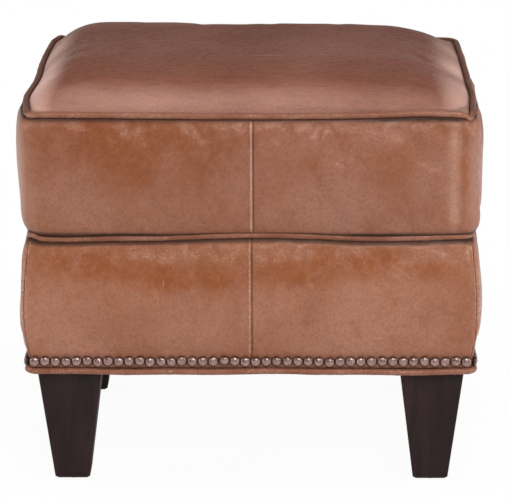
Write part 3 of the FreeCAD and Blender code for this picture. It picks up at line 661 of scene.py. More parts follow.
def wood_finish(name, dark, light, rough, specular, grain):
    """Straight-grained timber: long rings along Z and short dark pores; grain is the depth of the pores."""
    f = Finish(name)
    place = f.place()
    rings = f.streaks(place, (55.0, 55.0, 3.2), 4.0, 0.6, 0.8)
    fibre = f.streaks(place, (520.0, 520.0, 22.0), 3.0, 0.6)
    colour = f.blend(f.step(rings, 0.35, 0.68), dark, light)
    colour = f.tinted(colour, shaded(dark, 0.35), fibre, 0.5, 0.25, 0.35)
    colour = f.tinted(colour, light, f.noise(place, 14.0, 2.0, 0.5), 0.35, 0.7, 0.25)
    return f.surface(
        Base_Color=colour, Roughness=f.step(fibre, 0.3, 0.7, rough + 0.06, rough - 0.05),
        Normal=f.bump(fibre, 0.0003, 0.35 * grain), Specular_IOR_Level=specular,
    )


def cloth_finish(name, thread, gap, pitch):
    """Plain woven cloth: crossing threads, pitch metres apart, with uneven thickness and lint."""
    f = Finish(name)
    place = f.place()
    turns = 2 * math.pi / pitch
    over = (f.part(place, 0) * turns).sine()
    under = (f.part(place, 1) * turns + f.part(place, 2) * turns).sine()
    weave = (over * under) * 0.5 + 0.5
    lint = f.noise(place, 240.0, 3.0, 0.6)
    colour = f.blend(weave, gap, thread)
    colour = f.tinted(colour, shaded(thread, 1.6), f.streaks(place, (40.0, 900.0, 900.0)), 0.45, 0.75, 0.4)
    colour = f.tinted(colour, gap, lint, 0.5, 0.8, 0.3)
    return f.surface(
        Base_Color=colour, Roughness=0.9, Normal=f.bump(weave + lint * 0.5, 0.0003, 0.6),
        Sheen_Weight=0.25, Specular_IOR_Level=0.25,
    )


def fibre_finish(name, light, dark, scale):
    """Matted fibre or foam: soft light and dark lumps with fine holes."""
    f = Finish(name)
    place = f.place()
    lumps = f.noise(place, scale * 0.3, 4.0, 0.65)
    holes = f.cells(place, scale * 2.2)
    colour = f.blend(f.step(lumps, 0.3, 0.7), dark, light)
    colour = f.tinted(colour, shaded(dark, 0.6), holes, 0.45, 0.1, 0.35)
    relief = f.bump(lumps + holes * 0.4, 0.0012, 0.6)
    return f.surface(Base_Color=colour, Roughness=0.95, Normal=relief, Specular_IOR_Level=0.2, Sheen_Weight=0.3)


def steel_finish():
    """Bright drawn steel wire and pressed steel, with draw marks and a little oil stain."""
    f = Finish("drawn_steel")
    place = f.place()
    marks = f.streaks(place, (900.0, 60.0, 900.0), 3.0)
    colour = f.blend(f.step(f.noise(place, 55.0, 3.0, 0.6), 0.4, 0.7), (0.46, 0.46, 0.47), (0.30, 0.27, 0.24))
    roughness = f.step(marks, 0.3, 0.7, 0.28, 0.45)
    return f.surface(Base_Color=colour, Metallic=1.0, Roughness=roughness, Normal=f.bump(marks, 0.0001, 0.3))


def plastic_finish():
    """Dull black nylon of the glides, scuffed where it meets the floor."""
    f = Finish("glide_nylon")
    scuff = f.streaks(f.place(), (500.0, 120.0, 200.0), 3.0, 0.6)
    colour = f.blend(f.step(scuff, 0.5, 0.75, 0.0, 0.5), (0.03, 0.027, 0.025), (0.13, 0.12, 0.11))
    roughness = f.step(scuff, 0.3, 0.7, 0.4, 0.6)
    return f.surface(Base_Color=colour, Roughness=roughness, Normal=f.bump(scuff, 0.0002, 0.3))


def board_finish():
    """Brown tacking board: pressed paper fibres."""
    f = Finish("tacking_board")
    fibres = f.streaks(f.place(), (160.0, 160.0, 700.0), 4.0, 0.7)
    colour = f.blend(f.step(fibres, 0.35, 0.7), (0.30, 0.21, 0.13), (0.50, 0.39, 0.27))
    return f.surface(Base_Color=colour, Roughness=0.9, Normal=f.bump(fibres, 0.0002, 0.4))


# Leathers: deep, warm, haze and pale colour, seed
PALE = (0.56, 0.34, 0.25)
top_leather = leather(
    "leather_top_crown", (0.170, 0.058, 0.036), (0.165, 0.050, 0.026), (0.215, 0.080, 0.052), (0.66, 0.40, 0.33), 0.37,
    streaks=0.75, specular=0.26, rough=0.42, coat=0.06, broken=0.12,
)
boxing_leather = leather(
    "leather_cushion_sides", (0.224, 0.078, 0.040), (0.205, 0.055, 0.015), (0.272, 0.116, 0.076), PALE, 1.61,
    broken=0.3,
)
base_leather = leather(
    "leather_base_cover", (0.258, 0.096, 0.051), (0.232, 0.063, 0.015), (0.322, 0.138, 0.086), PALE, 2.43
)
welt_leather = leather(
    "leather_welts", (0.185, 0.062, 0.033), (0.19, 0.058, 0.024), (0.25, 0.100, 0.062), PALE, 3.19, rough=0.4
)
nail_metal = nail_finish()
leg_wood = wood_finish("espresso_leg_wood", (0.0145, 0.0066, 0.0064), (0.026, 0.0122, 0.0115), 0.52, 0.16, 1.0)
frame_wood = wood_finish("frame_hardwood", (0.42, 0.27, 0.145), (0.62, 0.45, 0.28), 0.65, 0.3, 1.6)
steel = steel_finish()
glide_nylon = plastic_finish()
tack_board = board_finish()
dust_cloth = cloth_finish("black_dust_cloth", (0.022, 0.022, 0.023), (0.006, 0.006, 0.006), 0.0012)
deck_weave = cloth_finish("deck_cloth_weave", (0.42, 0.34, 0.23), (0.16, 0.12, 0.07), 0.0016)
cord_fibre = cloth_finish("welt_cord_paper", (0.66, 0.60, 0.48), (0.40, 0.35, 0.27), 0.0010)
padding_fibre = fibre_finish("polyester_fibre", (0.86, 0.86, 0.84), (0.66, 0.65, 0.62), 260.0)
foam_cells = fibre_finish("polyurethane_foam", (0.80, 0.74, 0.55), (0.66, 0.58, 0.40), 420.0)
felt_fibre = fibre_finish("needled_felt", (0.30, 0.27, 0.23), (0.16, 0.14, 0.12), 200.0)


# ---------------------------------------------------------------------------
# Leather covers

# The cloth run for the cushion's sides and the base cover, on coarse rings

ring_turns = round_turns(252)[None, :]


def held_near(turns):
    """Hold of the seams that cross a cover, by turn."""
    return 0.35 * np.minimum(sum(near_turn(ring_turns, t, 0.02) for t in turns), 1)


ring_shares = np.linspace(0, 1, 21)[:, None]
ring_hold = np.maximum((ring_shares < 0.01) | (ring_shares > 0.99), held_near((0.0, 1.0, 2.0, 3.0)))
boxing_pucker = wall_pucker(*boxing_wall(ring_turns, ring_shares), ring_hold, BOXING_LOOSE, BOXING_PUCKER)

ring_heights = np.linspace(BAND_BOTTOM_Z, BASE_TOP_Z, 24)[:, None]
ring_hold = np.maximum((ring_heights < 156) | (ring_heights > 289), held_near((0.0, 2.0, *CORNERS)))
base_pucker = wall_pucker(*base_wall(ring_turns, ring_heights), ring_hold, BASE_LOOSE, BASE_PUCKER)

# Soft spots, each (x, z, width, height, strength), and on the top (x, y, width, depth, strength)

# The tall narrow spot at x 238 is painted shade: the darker, warmer band where the right front corner turns away
BOXING_SPOTS = (
    (-223, 403, 34, 20, 0.5), (-158, 401, 26, 22, 0.75), (-127, 418, 26, 20, 0.9), (-119, 381, 15, 26, 0.9),
    (-80, 416, 24, 18, 0.7), (-190, 426, 26, 10, 0.7), (-30, 400, 26, 26, 0.45), (-60, 372, 22, 26, 0.35),
    (215, 424, 15, 12, 0.85), (158, 378, 24, 20, 0.6), (64, 380, 26, 18, 0.55), (120, 400, 40, 20, 0.35),
    (238, 372, 7, 60, 1.0), (30, 360, 20, 30, 0.25), (-150, 396, 90, 46, 0.55), (60, 420, 60, 14, 0.3),
)
# The long thin spot along z 285 is painted shade: the darker, warmer edge where the cover rolls in under the middle
# welt
BASE_SPOTS = (
    (-206, 268, 34, 16, 1.0), (-95, 250, 34, 12, 1.1), (-45, 249, 32, 12, 1.15), (-150, 262, 32, 12, 0.7),
    (51, 251, 26, 12, 0.8), (92, 271, 30, 10, 0.7), (125, 264, 26, 14, 0.8), (162, 277, 26, 8, 0.8),
    (208, 260, 30, 14, 0.7), (25, 262, 26, 10, 0.5), (0, 285, 200, 6, 0.35), (-120, 262, 120, 24, 0.55),
    (130, 266, 110, 16, 0.3),
)
TOP_SPOTS = ((-196, 28, 3.0, 1.6, 0.5), (-180, 30, 2.0, 1.6, 0.7), (-140, 80, 5.0, 1.6, 0.4), (20, -60, 12, 1.5, 0.3))
BASE_CORNER_LIGHT = ((243, 280, 4.5, 7, 0.9),)

# Soft lines on the front, each (x0, z0, x1, z1, width)

BOXING_FOLDS = ((-52, 388, -28, 350, 2.2), (-40, 392, -12, 342, 1.6), (-112, 390, -92, 352, 2.0))
BASE_MARKS = ((164, 262, 178, 251, 0.9), (160, 258, 172, 246, 0.7))


def soft_spots(across, up, spots):
    """Sum of soft spots."""
    total = np.zeros(across.shape)
    for middle, height, width, depth, strength in spots:
        total += strength * np.exp(-(((across - middle) / width) ** 2) - ((up - height) / depth) ** 2)
    return total


def fold_lines(points, lines):
    """Sum of soft lines from (x0, z0) to (x1, z1) on the front, each with its width."""
    total = np.zeros(points.shape[:-1])
    x, z = points[..., 0], points[..., 2]
    for x0, z0, x1, z1, width in lines:
        length = math.hypot(x1 - x0, z1 - z0)
        ux, uz = (x1 - x0) / length, (z1 - z0) / length
        along = (x - x0) * ux + (z - z0) * uz
        across = (x - x0) * uz - (z - z0) * ux
        total += bump(across, 0, width) * smooth(along, -8, 8) * smooth(length - along, -8, 8)
    return total * (points[..., 1] < FRONT_FACE_Y)


def toward_front(y, low=120):
    """0 on the sides' back part, 1 near the front."""
    return smooth(-y, low, 205)


def close_at_ends(start, end, count):
    """Places from start to end that lie closer together near both ends, where the seams are."""
    share = np.linspace(0, 1, count)
    return start + (end - start) * (share - 0.86 * np.sin(2 * np.pi * share) / (2 * np.pi))


def gaps_to_ends(points):
    """Distance of each point from the first and (negative) from the last point of its row."""
    steps = np.linalg.norm(np.diff(points, axis=1), axis=-1)
    run = np.concatenate([np.zeros((len(points), 1)), np.cumsum(steps, axis=1)], axis=1)
    return run, run - run[:, -1:]


def seams(points, lip_sides):
    """Outward movement, painted shade line and rubbed line of a panel's two end seams. Both leathers dip in at a
    seam, and the one that it lies under stands up beside it as a narrow ridge, rubbed pale and painted with a
    highlight."""
    groove, dark, rubbed = 0, 0, 0
    for gap, side in zip(gaps_to_ends(points), lip_sides):
        groove = groove + SEAM_LIP * bump(gap * side, 2.6, 1.7) - SEAM_DEPTH * bump(gap, 0, 1.5)
        # dark is painted shade in the seam's groove; rubbed is real wear on the ridge plus a painted highlight
        dark = np.maximum(dark, 0.65 * np.exp(-((gap + 0.7 * side) ** 2) / 0.35))
        rubbed = np.maximum(rubbed, 1.1 * bump(gap * side, 1.5, 1.1))
    return groove, dark, rubbed


def leather_cover(name, points, material, slot, fill, shade, wear_and_sheen, patch):
    """A cover of leather from a grid of points, with the values that its finish reads."""
    values = {"shade": shade, "wear_and_sheen": wear_and_sheen, "patch": patch}
    thicken(piece(name, points, grid_faces(*points.shape[:2]), material, slot, fill, values))


def boxing_panel(name, turns, columns=260, rows=58):
    """One of the cushion's four side panels, between two middle seams."""
    turn = close_at_ends(*turns, columns)[None, :]
    s = np.linspace(0, 1, rows)[:, None]
    wave = np.cos(np.pi * s)
    share = 0.55 * (0.5 - 0.5 * wave * (0.35 + 0.65 * np.abs(wave))) + 0.45 * s
    points, normals = boxing_wall(turn, share)
    pucker = read_ring(boxing_pucker, turn[0], share[:, 0], 0, 1)
    inner = (4 * share * (1 - share)) ** 0.5
    waves = 0.55 * soft_noise(points, 70, 11) + 0.25 * soft_noise(points * (1, 1, 0.45), 26, 12)
    near_welts = bump(share, 0.93, 0.10) + 0.7 * bump(share, 0.05, 0.07)
    folds = 0.55 * near_welts * soft_noise(points * (1, 1, 0.12), 19, 13) + 0.5 * fold_lines(points, BOXING_FOLDS)
    groove, dark, rubbed = seams(points, (-1, -1))
    out = pucker + (waves + folds) * inner + groove * smooth(inner, 0, 0.35)
    points = points + normals * out[..., None]
    x, y, z = np.moveaxis(points, -1, 0)

    edge_gap = np.minimum(z - CUSHION_BOTTOM_Z, CUSHION_TOP_Z - z)
    shade = np.maximum(dark, np.exp(-np.clip(edge_gap - 1.2, 0, None) / 1.6))
    corner = sum(near_turn(turn, t, 0.06) for t in CORNERS)
    front = smooth(-normals[..., 1], 0.0, 0.5)
    # Painted highlights: a vertical band at the right front corner, stronger near the top and bottom, and pale rims at
    # both sides near the front
    ends = 0.5 + 0.5 * (bump(z, 412, 16) + bump(z, 322, 16))
    corner_highlights = 0.75 * bump(x, 226, 6.0) * ends + 0.8 * smooth(-x, 247, 257) + 0.5 * smooth(x, 251, 257)
    # Painted reflection of the floor on the lower part of the front, more to the left
    floor_reflection = 0.16 * smooth(372 - z, 0, 55) * smooth(150 - x, 0, 300)
    wear_and_sheen = rubbed * smooth(inner, 0.1, 0.4) + (0.18 * corner + corner_highlights * toward_front(y) + floor_reflection * front) * inner
    cloud = smooth(soft_noise(points, 60, 14), 0.1, 1.2)
    patch = np.clip(soft_spots(x, z, BOXING_SPOTS) * front + 0.5 * (1 - front) * cloud, 0, 1.2)
    leather_cover(name, points, boxing_leather, "leather_boxing", 0.85, shade, wear_and_sheen, patch)


def base_panel(name, turns, lip_sides, columns, rows=70):
    """One panel of the base cover, from the lower welt up to the roll under the cushion."""
    turn = close_at_ends(*turns, columns)[None, :]
    s = np.linspace(0, 1, rows)[:, None]
    z = BAND_BOTTOM_Z + (BASE_TOP_Z - BAND_BOTTOM_Z) * (s - 0.055 * np.sin(2 * np.pi * s))
    points, normals = base_wall(turn, z)
    pucker = read_ring(base_pucker, turn[0], z[:, 0], BAND_BOTTOM_Z, BASE_TOP_Z)
    inner = smooth(z, 156, 176) * smooth(BASE_TOP_Z - z, 0, 12)
    waves = 0.5 * soft_noise(points, 75, 21) + 0.22 * soft_noise(points * (1, 1, 0.6), 28, 22)
    folds = 0.45 * bump(z, 272, 14) * soft_noise(points * (1, 1, 0.15), 21, 23)
    is_side = np.abs(normals[..., 0]) > 0.7
    across = np.where(is_side, points[..., 1], points[..., 0])
    reach = np.where(is_side, NAIL_REACH_Y, NAIL_REACH_X)
    pitch = 2 * reach / (np.where(is_side, NAILS_SHORT, NAILS_LONG) - 1)
    between = 0.5 - 0.5 * np.cos(2 * np.pi * (across + reach) / pitch)
    row_z = z - np.where(is_side, SIDE_NAIL_Z, NAIL_Z)
    press = -0.9 * bump(row_z, 0, 7) + 0.55 * between * bump(row_z, 7.5, 4) + 0.4 * between * bump(row_z, -5, 3)
    groove, dark, rubbed = seams(points, lip_sides)
    out = (pucker + waves + folds) * inner + press + groove * smooth(z, 146, 154)
    points = points + normals * out[..., None]
    x, y, height = np.moveaxis(points, -1, 0)

    # Painted shade, near black: at the seams, in the crease over the bottom welt together with some dirt there, in the
    # groove under the middle welt and round the nail heads
    low_dirt_and_shade = np.exp(-np.clip(z - BAND_BOTTOM_Z - 0.6, 0, None) / 1.2)
    shades = (dark, low_dirt_and_shade, smooth(z, 285.5, 290.5), 0.75 * bump(row_z, -0.8, 5.2))
    shade = np.maximum.reduce(np.broadcast_arrays(*shades))
    front = smooth(-normals[..., 1], 0.0, 0.5)
    # Painted highlight on the swelling under the middle welt, on the front, broken up by noise
    shoulder_highlight = bump(z, 274, 11) * (0.35 + 0.65 * bump(x, -75, 90)) * (y < FRONT_FACE_Y)
    shoulder_highlight = 0.42 * shoulder_highlight * smooth(soft_noise(points, 20, 24), -0.6, 1.1)
    # A painted highlight at the top of the right front corner, and two real scratches
    marks = soft_spots(x, z, BASE_CORNER_LIGHT) * front + 0.7 * fold_lines(points, BASE_MARKS)
    # Painted reflection: the side ends turn pale near the front
    ends = 0.9 * (smooth(-x, 245, 259) + smooth(x, 247, 259)) * toward_front(y, 110)
    # Painted reflection of the floor on the lower part, near the front
    floor_reflection = 0.07 * smooth(225 - z, 0, 60) * toward_front(y)
    wear_and_sheen = rubbed * smooth(z, 158, 166) + shoulder_highlight + marks + (ends + floor_reflection) * inner
    cloud = bump(z, 262, 22) * smooth(soft_noise(points, 60, 25), -0.2, 0.9)
    patch = np.clip(soft_spots(x, height, BASE_SPOTS) * front + 0.5 * (1 - front) * cloud, 0, 1.2)
    leather_cover(name, points, base_leather, "leather_base", 0.8, shade, wear_and_sheen, patch)


def top_panel(columns=190, rows=160):
    """The crowned top: a Coons patch inside the top welt, raised by the crown's height."""
    puff = finer(finer(top_pucker(), rows, 0), columns, 1)
    x, y, lift = np.moveaxis(crown_patch(columns, rows), -1, 0)
    rise = crown_height(x, y)
    flat = np.stack([x, y, 0 * x], axis=-1)
    waves = 0.35 * soft_noise(flat * (0.8, 1, 1), 110, 31) + 0.3 * soft_noise(flat * (1, 0.7, 1), 45, 32)
    front_gap = CROWN_HALF_Y + y
    folds = 0.35 * bump(front_gap, 16, 14) * soft_noise(flat * (1, 0.2, 1), 30, 33)
    z = TOP_WELT_Z + TOP_GAP + lift * np.exp(-rise / RIM_FADE) + rise
    z = z + (waves + folds) * smooth(rise, 0, 8) + 0.5 * puff * smooth(rise, 4, 26)

    shade = np.maximum(0.55 * np.exp(-np.clip(rise - 1.2, 0, None) / 0.6), 0.24 * smooth(y, -130, 120))
    # Painted light on the top: the band is a painted sheen along the front slope, the flanks are the side slopes
    # painted pale as if lit from the sides, and both fade towards the back
    cloudy = 0.8 + 0.2 * soft_noise(flat * (0.6, 1, 1), 60, 34)
    band = 0.26 * (1 - smooth(front_gap, 14, 46)) * (1 - 0.35 * smooth(x, 40, 200) + 0.55 * smooth(-x, 60, 210))
    flanks = 1.3 * (1 - smooth(CROWN_HALF_X + x, 6, 40)) + 1.0 * (1 - smooth(CROWN_HALF_X - x, 8, 44))
    wear_and_sheen = np.maximum(band, flanks * (1 - 0.6 * smooth(y, 40, 190))) * cloudy + soft_spots(x, y, TOP_SPOTS)
    tone = 0.4 * smooth(soft_noise(flat, 80, 35), 0.0, 1.3)
    leather_cover("top_panel", np.stack([x, y, z], axis=-1), top_leather, "leather_top", 0.85, shade, wear_and_sheen, tone)


for panel_name, panel_turns in (
    ("front_left", (3.0, 4.0 + BOXING_SEAM)), ("front_right", (BOXING_SEAM, 1.0)),
    ("back_left", (2.0, 3.0)), ("back_right", (1.0, 2.0)),
):
    boxing_panel(f"boxing_panel_{panel_name}", panel_turns)

# Turns between its seams, the side of each seam's ridge, and columns
for panel_name, *panel_shape in (
    ("front_right", (BASE_SEAM, CORNER), (-1, -1), 230), ("right", (CORNER, 2 - CORNER), (-1, 1), 330),
    ("back_right", (2 - CORNER, 2.0), (1, 1), 230), ("back_left", (2.0, 2 + CORNER), (1, 1), 230),
    ("left", (2 + CORNER, 4 - CORNER), (-1, 1), 330), ("front_left", (4 - CORNER, 4 + BASE_SEAM), (1, -1), 230),
):
    base_panel(f"base_panel_{panel_name}", *panel_shape)

top_panel()


# ---------------------------------------------------------------------------
# Welts


def welt_path(growth, bow, corner, z, line, count):
    """The welt's turns and centre line, with the outward direction at each point."""
    turn = round_turns(count)
    lift, out = line(turn)
    return turn, *pushed(*outline(growth, bow, corner, turn), out, z + lift)


def tube(centre, normal, radius, angle):
    """Points and faces of circles carried round a closed line."""
    up = np.array([0.0, 0.0, 1.0])
    offset = normal[:, None] * (np.cos(angle) * radius)[..., None] + up * (np.sin(angle) * radius)[..., None]
    return centre[:, None] + offset, grid_faces(*radius.shape, round_rows=True, round_columns=True)[:, ::-1]


def welt(name, path, seed, count=760, sides=16):
    """A leather welt: circles carried along the outline, a little uneven, drawn to a seam on the inside. The
    bottom one shows its sewn edge under the frame."""
    turn, centre, normal = welt_path(*path, count)
    angle = round_angles(sides)[None, :]
    lumps = 0.10 * soft_noise(centre, 9, seed) + 0.10 * soft_noise(centre, 32, seed + 1)
    corner_fold = sum(near_turn(turn, t, 0.035) for t in CORNERS)
    gathers = 0.16 * corner_fold * np.sin(turn * 2 * np.pi * 190)
    radius = WELT_RADIUS + (lumps + gathers)[:, None] + 0.5 * bump(angle, np.pi, 0.5)
    points, faces = tube(centre, normal, radius, angle)
    outward = np.cos(angle) + 0 * radius
    on_side = smooth(np.abs(normal[:, :1]), 0.6, 0.95)
    shade = np.maximum(smooth(-outward, 0.25, 0.95), 0.42 * on_side * (name == "top_welt"))
    wear_and_sheen = 0.3 * smooth(outward, 0.35, 1.0) * smooth(soft_noise(centre, 40, seed + 2), -0.6, 1.0)[:, None]
    wear_and_sheen = wear_and_sheen + 0.2 * corner_fold[:, None] * smooth(outward, 0.2, 1.0)
    patch = 0.25 * smooth(soft_noise(centre, 60, seed + 3), 0.0, 1.0)[:, None] + 0 * outward
    points, values = points.reshape(-1, 3), {"shade": shade.ravel(), "wear_and_sheen": wear_and_sheen.ravel(), "patch": patch.ravel()}
    if name == "bottom_welt":
        strip, strip_faces = flange_strip(count)
        faces = np.vstack([faces, strip_faces + len(points)])
        points = np.vstack([points, strip])
        for key, amount in (("shade", 0.25), ("wear_and_sheen", 0.0), ("patch", 0.0)):
            values[key] = np.concatenate([values[key], np.full(len(strip), amount)])
    piece(name, points, faces, welt_leather, "leather_welt", None, values)


def flange_strip(count):
    """The bottom welt's sewn edge, turned in under the frame: a flat closed ring with a thin section."""
    rings = []
    for growth, dz in ((6.6, -0.75), (6.6, 0.75), (1.0, 0.75), (1.0, -0.75)):
        x, y, _, _ = outline(growth, FRAME_BOW, FRAME_CORNER + growth, round_turns(count))
        ripple = 0.25 * soft_noise(np.stack([x, y, 0 * x], -1), 30, 51)
        rings.append(np.stack([x, y, BOTTOM_WELT_Z + dz + ripple], axis=-1))
    faces = grid_faces(count, len(rings), round_rows=True, round_columns=True)[:, ::-1]
    return np.stack(rings, axis=1).reshape(-1, 3), faces


def welt_cord(name, path, count=480, sides=10):
    """The twisted paper cord inside a welt: lobed circles that turn as they go round."""
    turn, centre, normal = welt_path(*path, count)
    angle = round_angles(sides)[None, :]
    twist = turn[:, None] * 2 * np.pi * 60
    radius = CORD_RADIUS * (0.95 + 0.05 * np.cos(3 * (angle + twist)))
    piece(name, *tube(centre, normal, radius, angle), cord_fibre, "welt_cord")


for welt_name, welt_shape, welt_seed in (
    ("top_welt", (WELT_GROWTH, WELT_BOW, WELT_CORNER, TOP_WELT_Z, top_line), 41),
    ("middle_welt", (WELT_GROWTH, WELT_BOW, WELT_CORNER, MIDDLE_WELT_Z, middle_line), 45),
    ("bottom_welt", (BAND_GROWTH, BAND_BOW, BAND_CORNER, BOTTOM_WELT_Z, bottom_line), 49),
):
    welt(welt_name, welt_shape, welt_seed)
    welt_cord(f"{welt_name}_cord", welt_shape)


# ---------------------------------------------------------------------------
# Nails

# Rings of a head from its rim to near its top: radius and height as shares of the whole, and closeness to the rim
HEAD_RADII = np.array([1.0, 1.0, 0.985, 0.93, 0.80, 0.60, 0.34])
HEAD_HEIGHTS = np.array([-0.25, 0.05, 0.20, 0.42, 0.68, 0.86, 0.965])
HEAD_EDGES = [1.0, 1.0, 0.9, 0.65, 0.3, 0.1, 0.0]
HEAD_SEGMENTS = 14

# Number of nails, height, half length and face of a row
LONG_ROW = (NAILS_LONG, NAIL_Z, NAIL_REACH_X, NAIL_FACE_Y)
SHORT_ROW = (NAILS_SHORT, SIDE_NAIL_Z, NAIL_REACH_Y, NAIL_FACE_X)


def nail_points():
    """One nail about its own axis: its head, a dome over a short rim, then its square pointed shank."""
    angle = round_angles(HEAD_SEGMENTS)
    r, h = HEAD_RADII[:, None], HEAD_HEIGHTS[:, None]
    ring = np.stack([r * np.cos(angle), r * np.sin(angle), h + 0 * angle], axis=-1).reshape(-1, 3)
    dome = np.vstack([ring * (NAIL_RADIUS, NAIL_RADIUS, NAIL_DOME), [[0, 0, NAIL_DOME]]])
    corners = np.array([[1, 1], [-1, 1], [-1, -1], [1, -1]]) * (NAIL_SHANK / 2)
    shank_top, shank_end = np.c_[corners, np.full(4, 0.2)], np.c_[corners * 0.9, np.full(4, -NAIL_LENGTH + 3)]
    return dome, np.vstack([shank_top, shank_end, [[0, 0, -NAIL_LENGTH]]])


def nail_faces():
    """Faces of one nail, in groups of one size: dome, its top, shank, its point and the head's underside."""
    rings, segments = len(HEAD_RADII), HEAD_SEGMENTS
    around, k = np.arange(segments), np.arange(4)
    last, pole = (rings - 1) * segments, rings * segments
    after, near = (k + 1) % 4, pole + 1
    far = near + 4
    fan = np.stack([last + around, last + (around + 1) % segments, np.full(segments, pole)], axis=1)
    walls = np.stack([near + k, near + after, far + after, far + k], axis=1)[:, ::-1]
    tip = np.stack([far + k, far + after, np.full(4, far + 4)], axis=1)[:, ::-1]
    return grid_faces(rings, segments, round_columns=True), fan, walls, tip, around[None, ::-1]


def nail_row(side, along, outward, row, seed):
    """A row of hand-driven nails along one direction, heads outward: each is a little off its place, its size
    and its upright."""
    rng = np.random.default_rng(seed)
    count, height, reach, face = row
    dome, shank = nail_points()
    dents = rng.normal(0, 0.09, (count, len(dome), 1)) * (dome[:, 2:] > 0.5)
    size = rng.uniform(0.985, 1.025, (count, 1, 1))
    heads = dome[None] * size + dents * (0, 0, 1)
    tilt_x, tilt_y = rng.normal(0, 0.075, (2, count, 1))
    heads[..., 2] += heads[..., 0] * tilt_x + heads[..., 1] * tilt_y
    nails = np.concatenate([heads, np.broadcast_to(shank, (count, *shank.shape))], axis=1)
    place = np.linspace(-reach, reach, count)[:, None] + rng.normal(0, 0.14, (count, 1)) + nails[..., 0]
    z = height + rng.normal(0, 0.42, (count, 1)) + nails[..., 1]
    out = face + nails[..., 2]
    x, y = (place * a + out * b for a, b in zip(along, outward))

    start = (np.arange(count) * nails.shape[1])[:, None, None]
    faces = []
    for group in nail_faces():
        faces += (group + start).reshape(-1, group.shape[-1]).tolist()
    edge = np.concatenate([np.repeat(HEAD_EDGES, HEAD_SEGMENTS), [0.0], np.ones(len(shank))])
    points = np.stack([x, y, z], axis=-1)
    piece(f"nails_{side}", points, faces, nail_metal, "nail_metal", None, {"edge": np.tile(edge, count)})


nail_row("front", (1, 0), (0, -1), LONG_ROW, 61)
nail_row("back", (-1, 0), (0, 1), LONG_ROW, 62)
nail_row("left", (0, -1), (-1, 0), SHORT_ROW, 63)
nail_row("right", (0, 1), (1, 0), SHORT_ROW, 64)


# ---------------------------------------------------------------------------
# Filling, deck and cloth inside and underneath

PAD_COLUMNS = 160
EDGE_GROWTH, EDGE_HALF_WIDTH = WELT_GROWTH - WELT_RADIUS - 0.1, 12.0
DUST_SAG = 2.4


def box_of(node):
    """Lowest and highest corner of a solid, in millimetres."""
    return [np.array(v) * 1000 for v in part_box(node)]


def closed_pad(name, form, material, slot, fill):
    """A closed form: rings of points from the middle of its underside, out, up its sides and in again over
    the top, with a pole at each end."""
    low, rings, high = form
    points = np.vstack([low[None], rings.reshape(-1, 3), high[None]])
    count, columns = rings.shape[:2]
    around = np.arange(columns)
    after = (around + 1) % columns
    top = 1 + (count - 1) * columns
    faces = (grid_faces(count, columns, round_columns=True) + 1).tolist()
    faces += np.stack([1 + after, 1 + around, np.zeros(columns, int)], axis=1).tolist()
    faces += np.stack([top + around, top + after, np.full(columns, len(points) - 1)], axis=1).tolist()
    piece(name, points, faces, material, slot, fill)


def cushion_form(inset, crown_inset, rows):
    """Rings of the cushion's filling: flat below, along the boxing's curve and over the crown."""
    turn = round_turns(PAD_COLUMNS)[None, :]
    walls, _ = boxing_wall(turn, np.linspace(0.02, 0.98, rows)[:, None], inset)
    low = np.array([0, 0, CUSHION_BOTTOM_Z + inset])
    floor = walls[:1] * (1, 1, 0) * np.linspace(0.12, 0.97, 9)[:, None, None] + low
    roof = walls[-1:] * (1, 1, 0) * np.linspace(0.985, 0.06, 16)[:, None, None]
    rise = crown_height(roof[..., 0], roof[..., 1])
    lift, _ = top_line(turn)
    roof[..., 2] = TOP_WELT_Z - crown_inset + lift * np.exp(-rise / RIM_FADE) + rise
    high = np.array([0, 0, TOP_WELT_Z - crown_inset + float(crown_height(0.0, 0.0))])
    return low, np.concatenate([floor, walls, roof]), high


def slab_form(node, rows):
    """Rings of a thin pad with softly rounded edges, as high as its solid."""
    bottom, top = (v[2] for v in box_of(node))
    half = (top - bottom) / 2
    lean = np.linspace(-np.pi / 2, np.pi / 2, rows)[:, None]
    turn = round_turns(PAD_COLUMNS)[None, :]
    x, y, _, _ = outline(EDGE_GROWTH - half + half * np.cos(lean), WELT_BOW, WELT_CORNER, turn)
    wall = np.stack([x, y, (top + bottom) / 2 + half * np.sin(lean) + 0 * x], axis=-1)
    shrink = np.linspace(0.15, 0.95, 7)[:, None, None]
    low, high = np.array([0, 0, bottom]), np.array([0, 0, top])
    floor, roof = wall[:1] * (1, 1, 0) * shrink + low, wall[-1:] * (1, 1, 0) * shrink[::-1] + high
    return low, np.concatenate([floor, wall, roof]), high


def ring_pad(name, section, material, slot, fill, columns=200, span=None):
    """A padded ring, or a length of one: a closed section of points, given for every turn, carried round."""
    start, end = span or (0, 4)
    points = section(np.linspace(start, end, columns, endpoint=span is not None)[:, None])
    count = points.shape[1]
    faces = grid_faces(columns, count, round_rows=span is None, round_columns=True)[:, ::-1].tolist()
    if span:
        faces += [list(range(count))[::-1], list(range((columns - 1) * count, columns * count))]
    piece(name, points, faces, material, slot, fill)


def edge_roll_section(turn):
    """A rounded bolster on top of the rails."""
    low, high = box_of("edge_roll")
    angle = round_angles(20)[None, :]
    cosine, sine = (np.sign(v) * np.abs(v) ** 0.55 for v in (np.cos(angle), np.sin(angle)))
    half_z, middle = (high[2] - low[2]) / 2, (high[2] + low[2]) / 2
    x, y, nx, ny = outline(EDGE_GROWTH, WELT_BOW, WELT_CORNER, turn)
    return pushed(x, y, nx, ny, EDGE_HALF_WIDTH * (cosine - 1), middle + half_z * sine + 0 * x)[0]


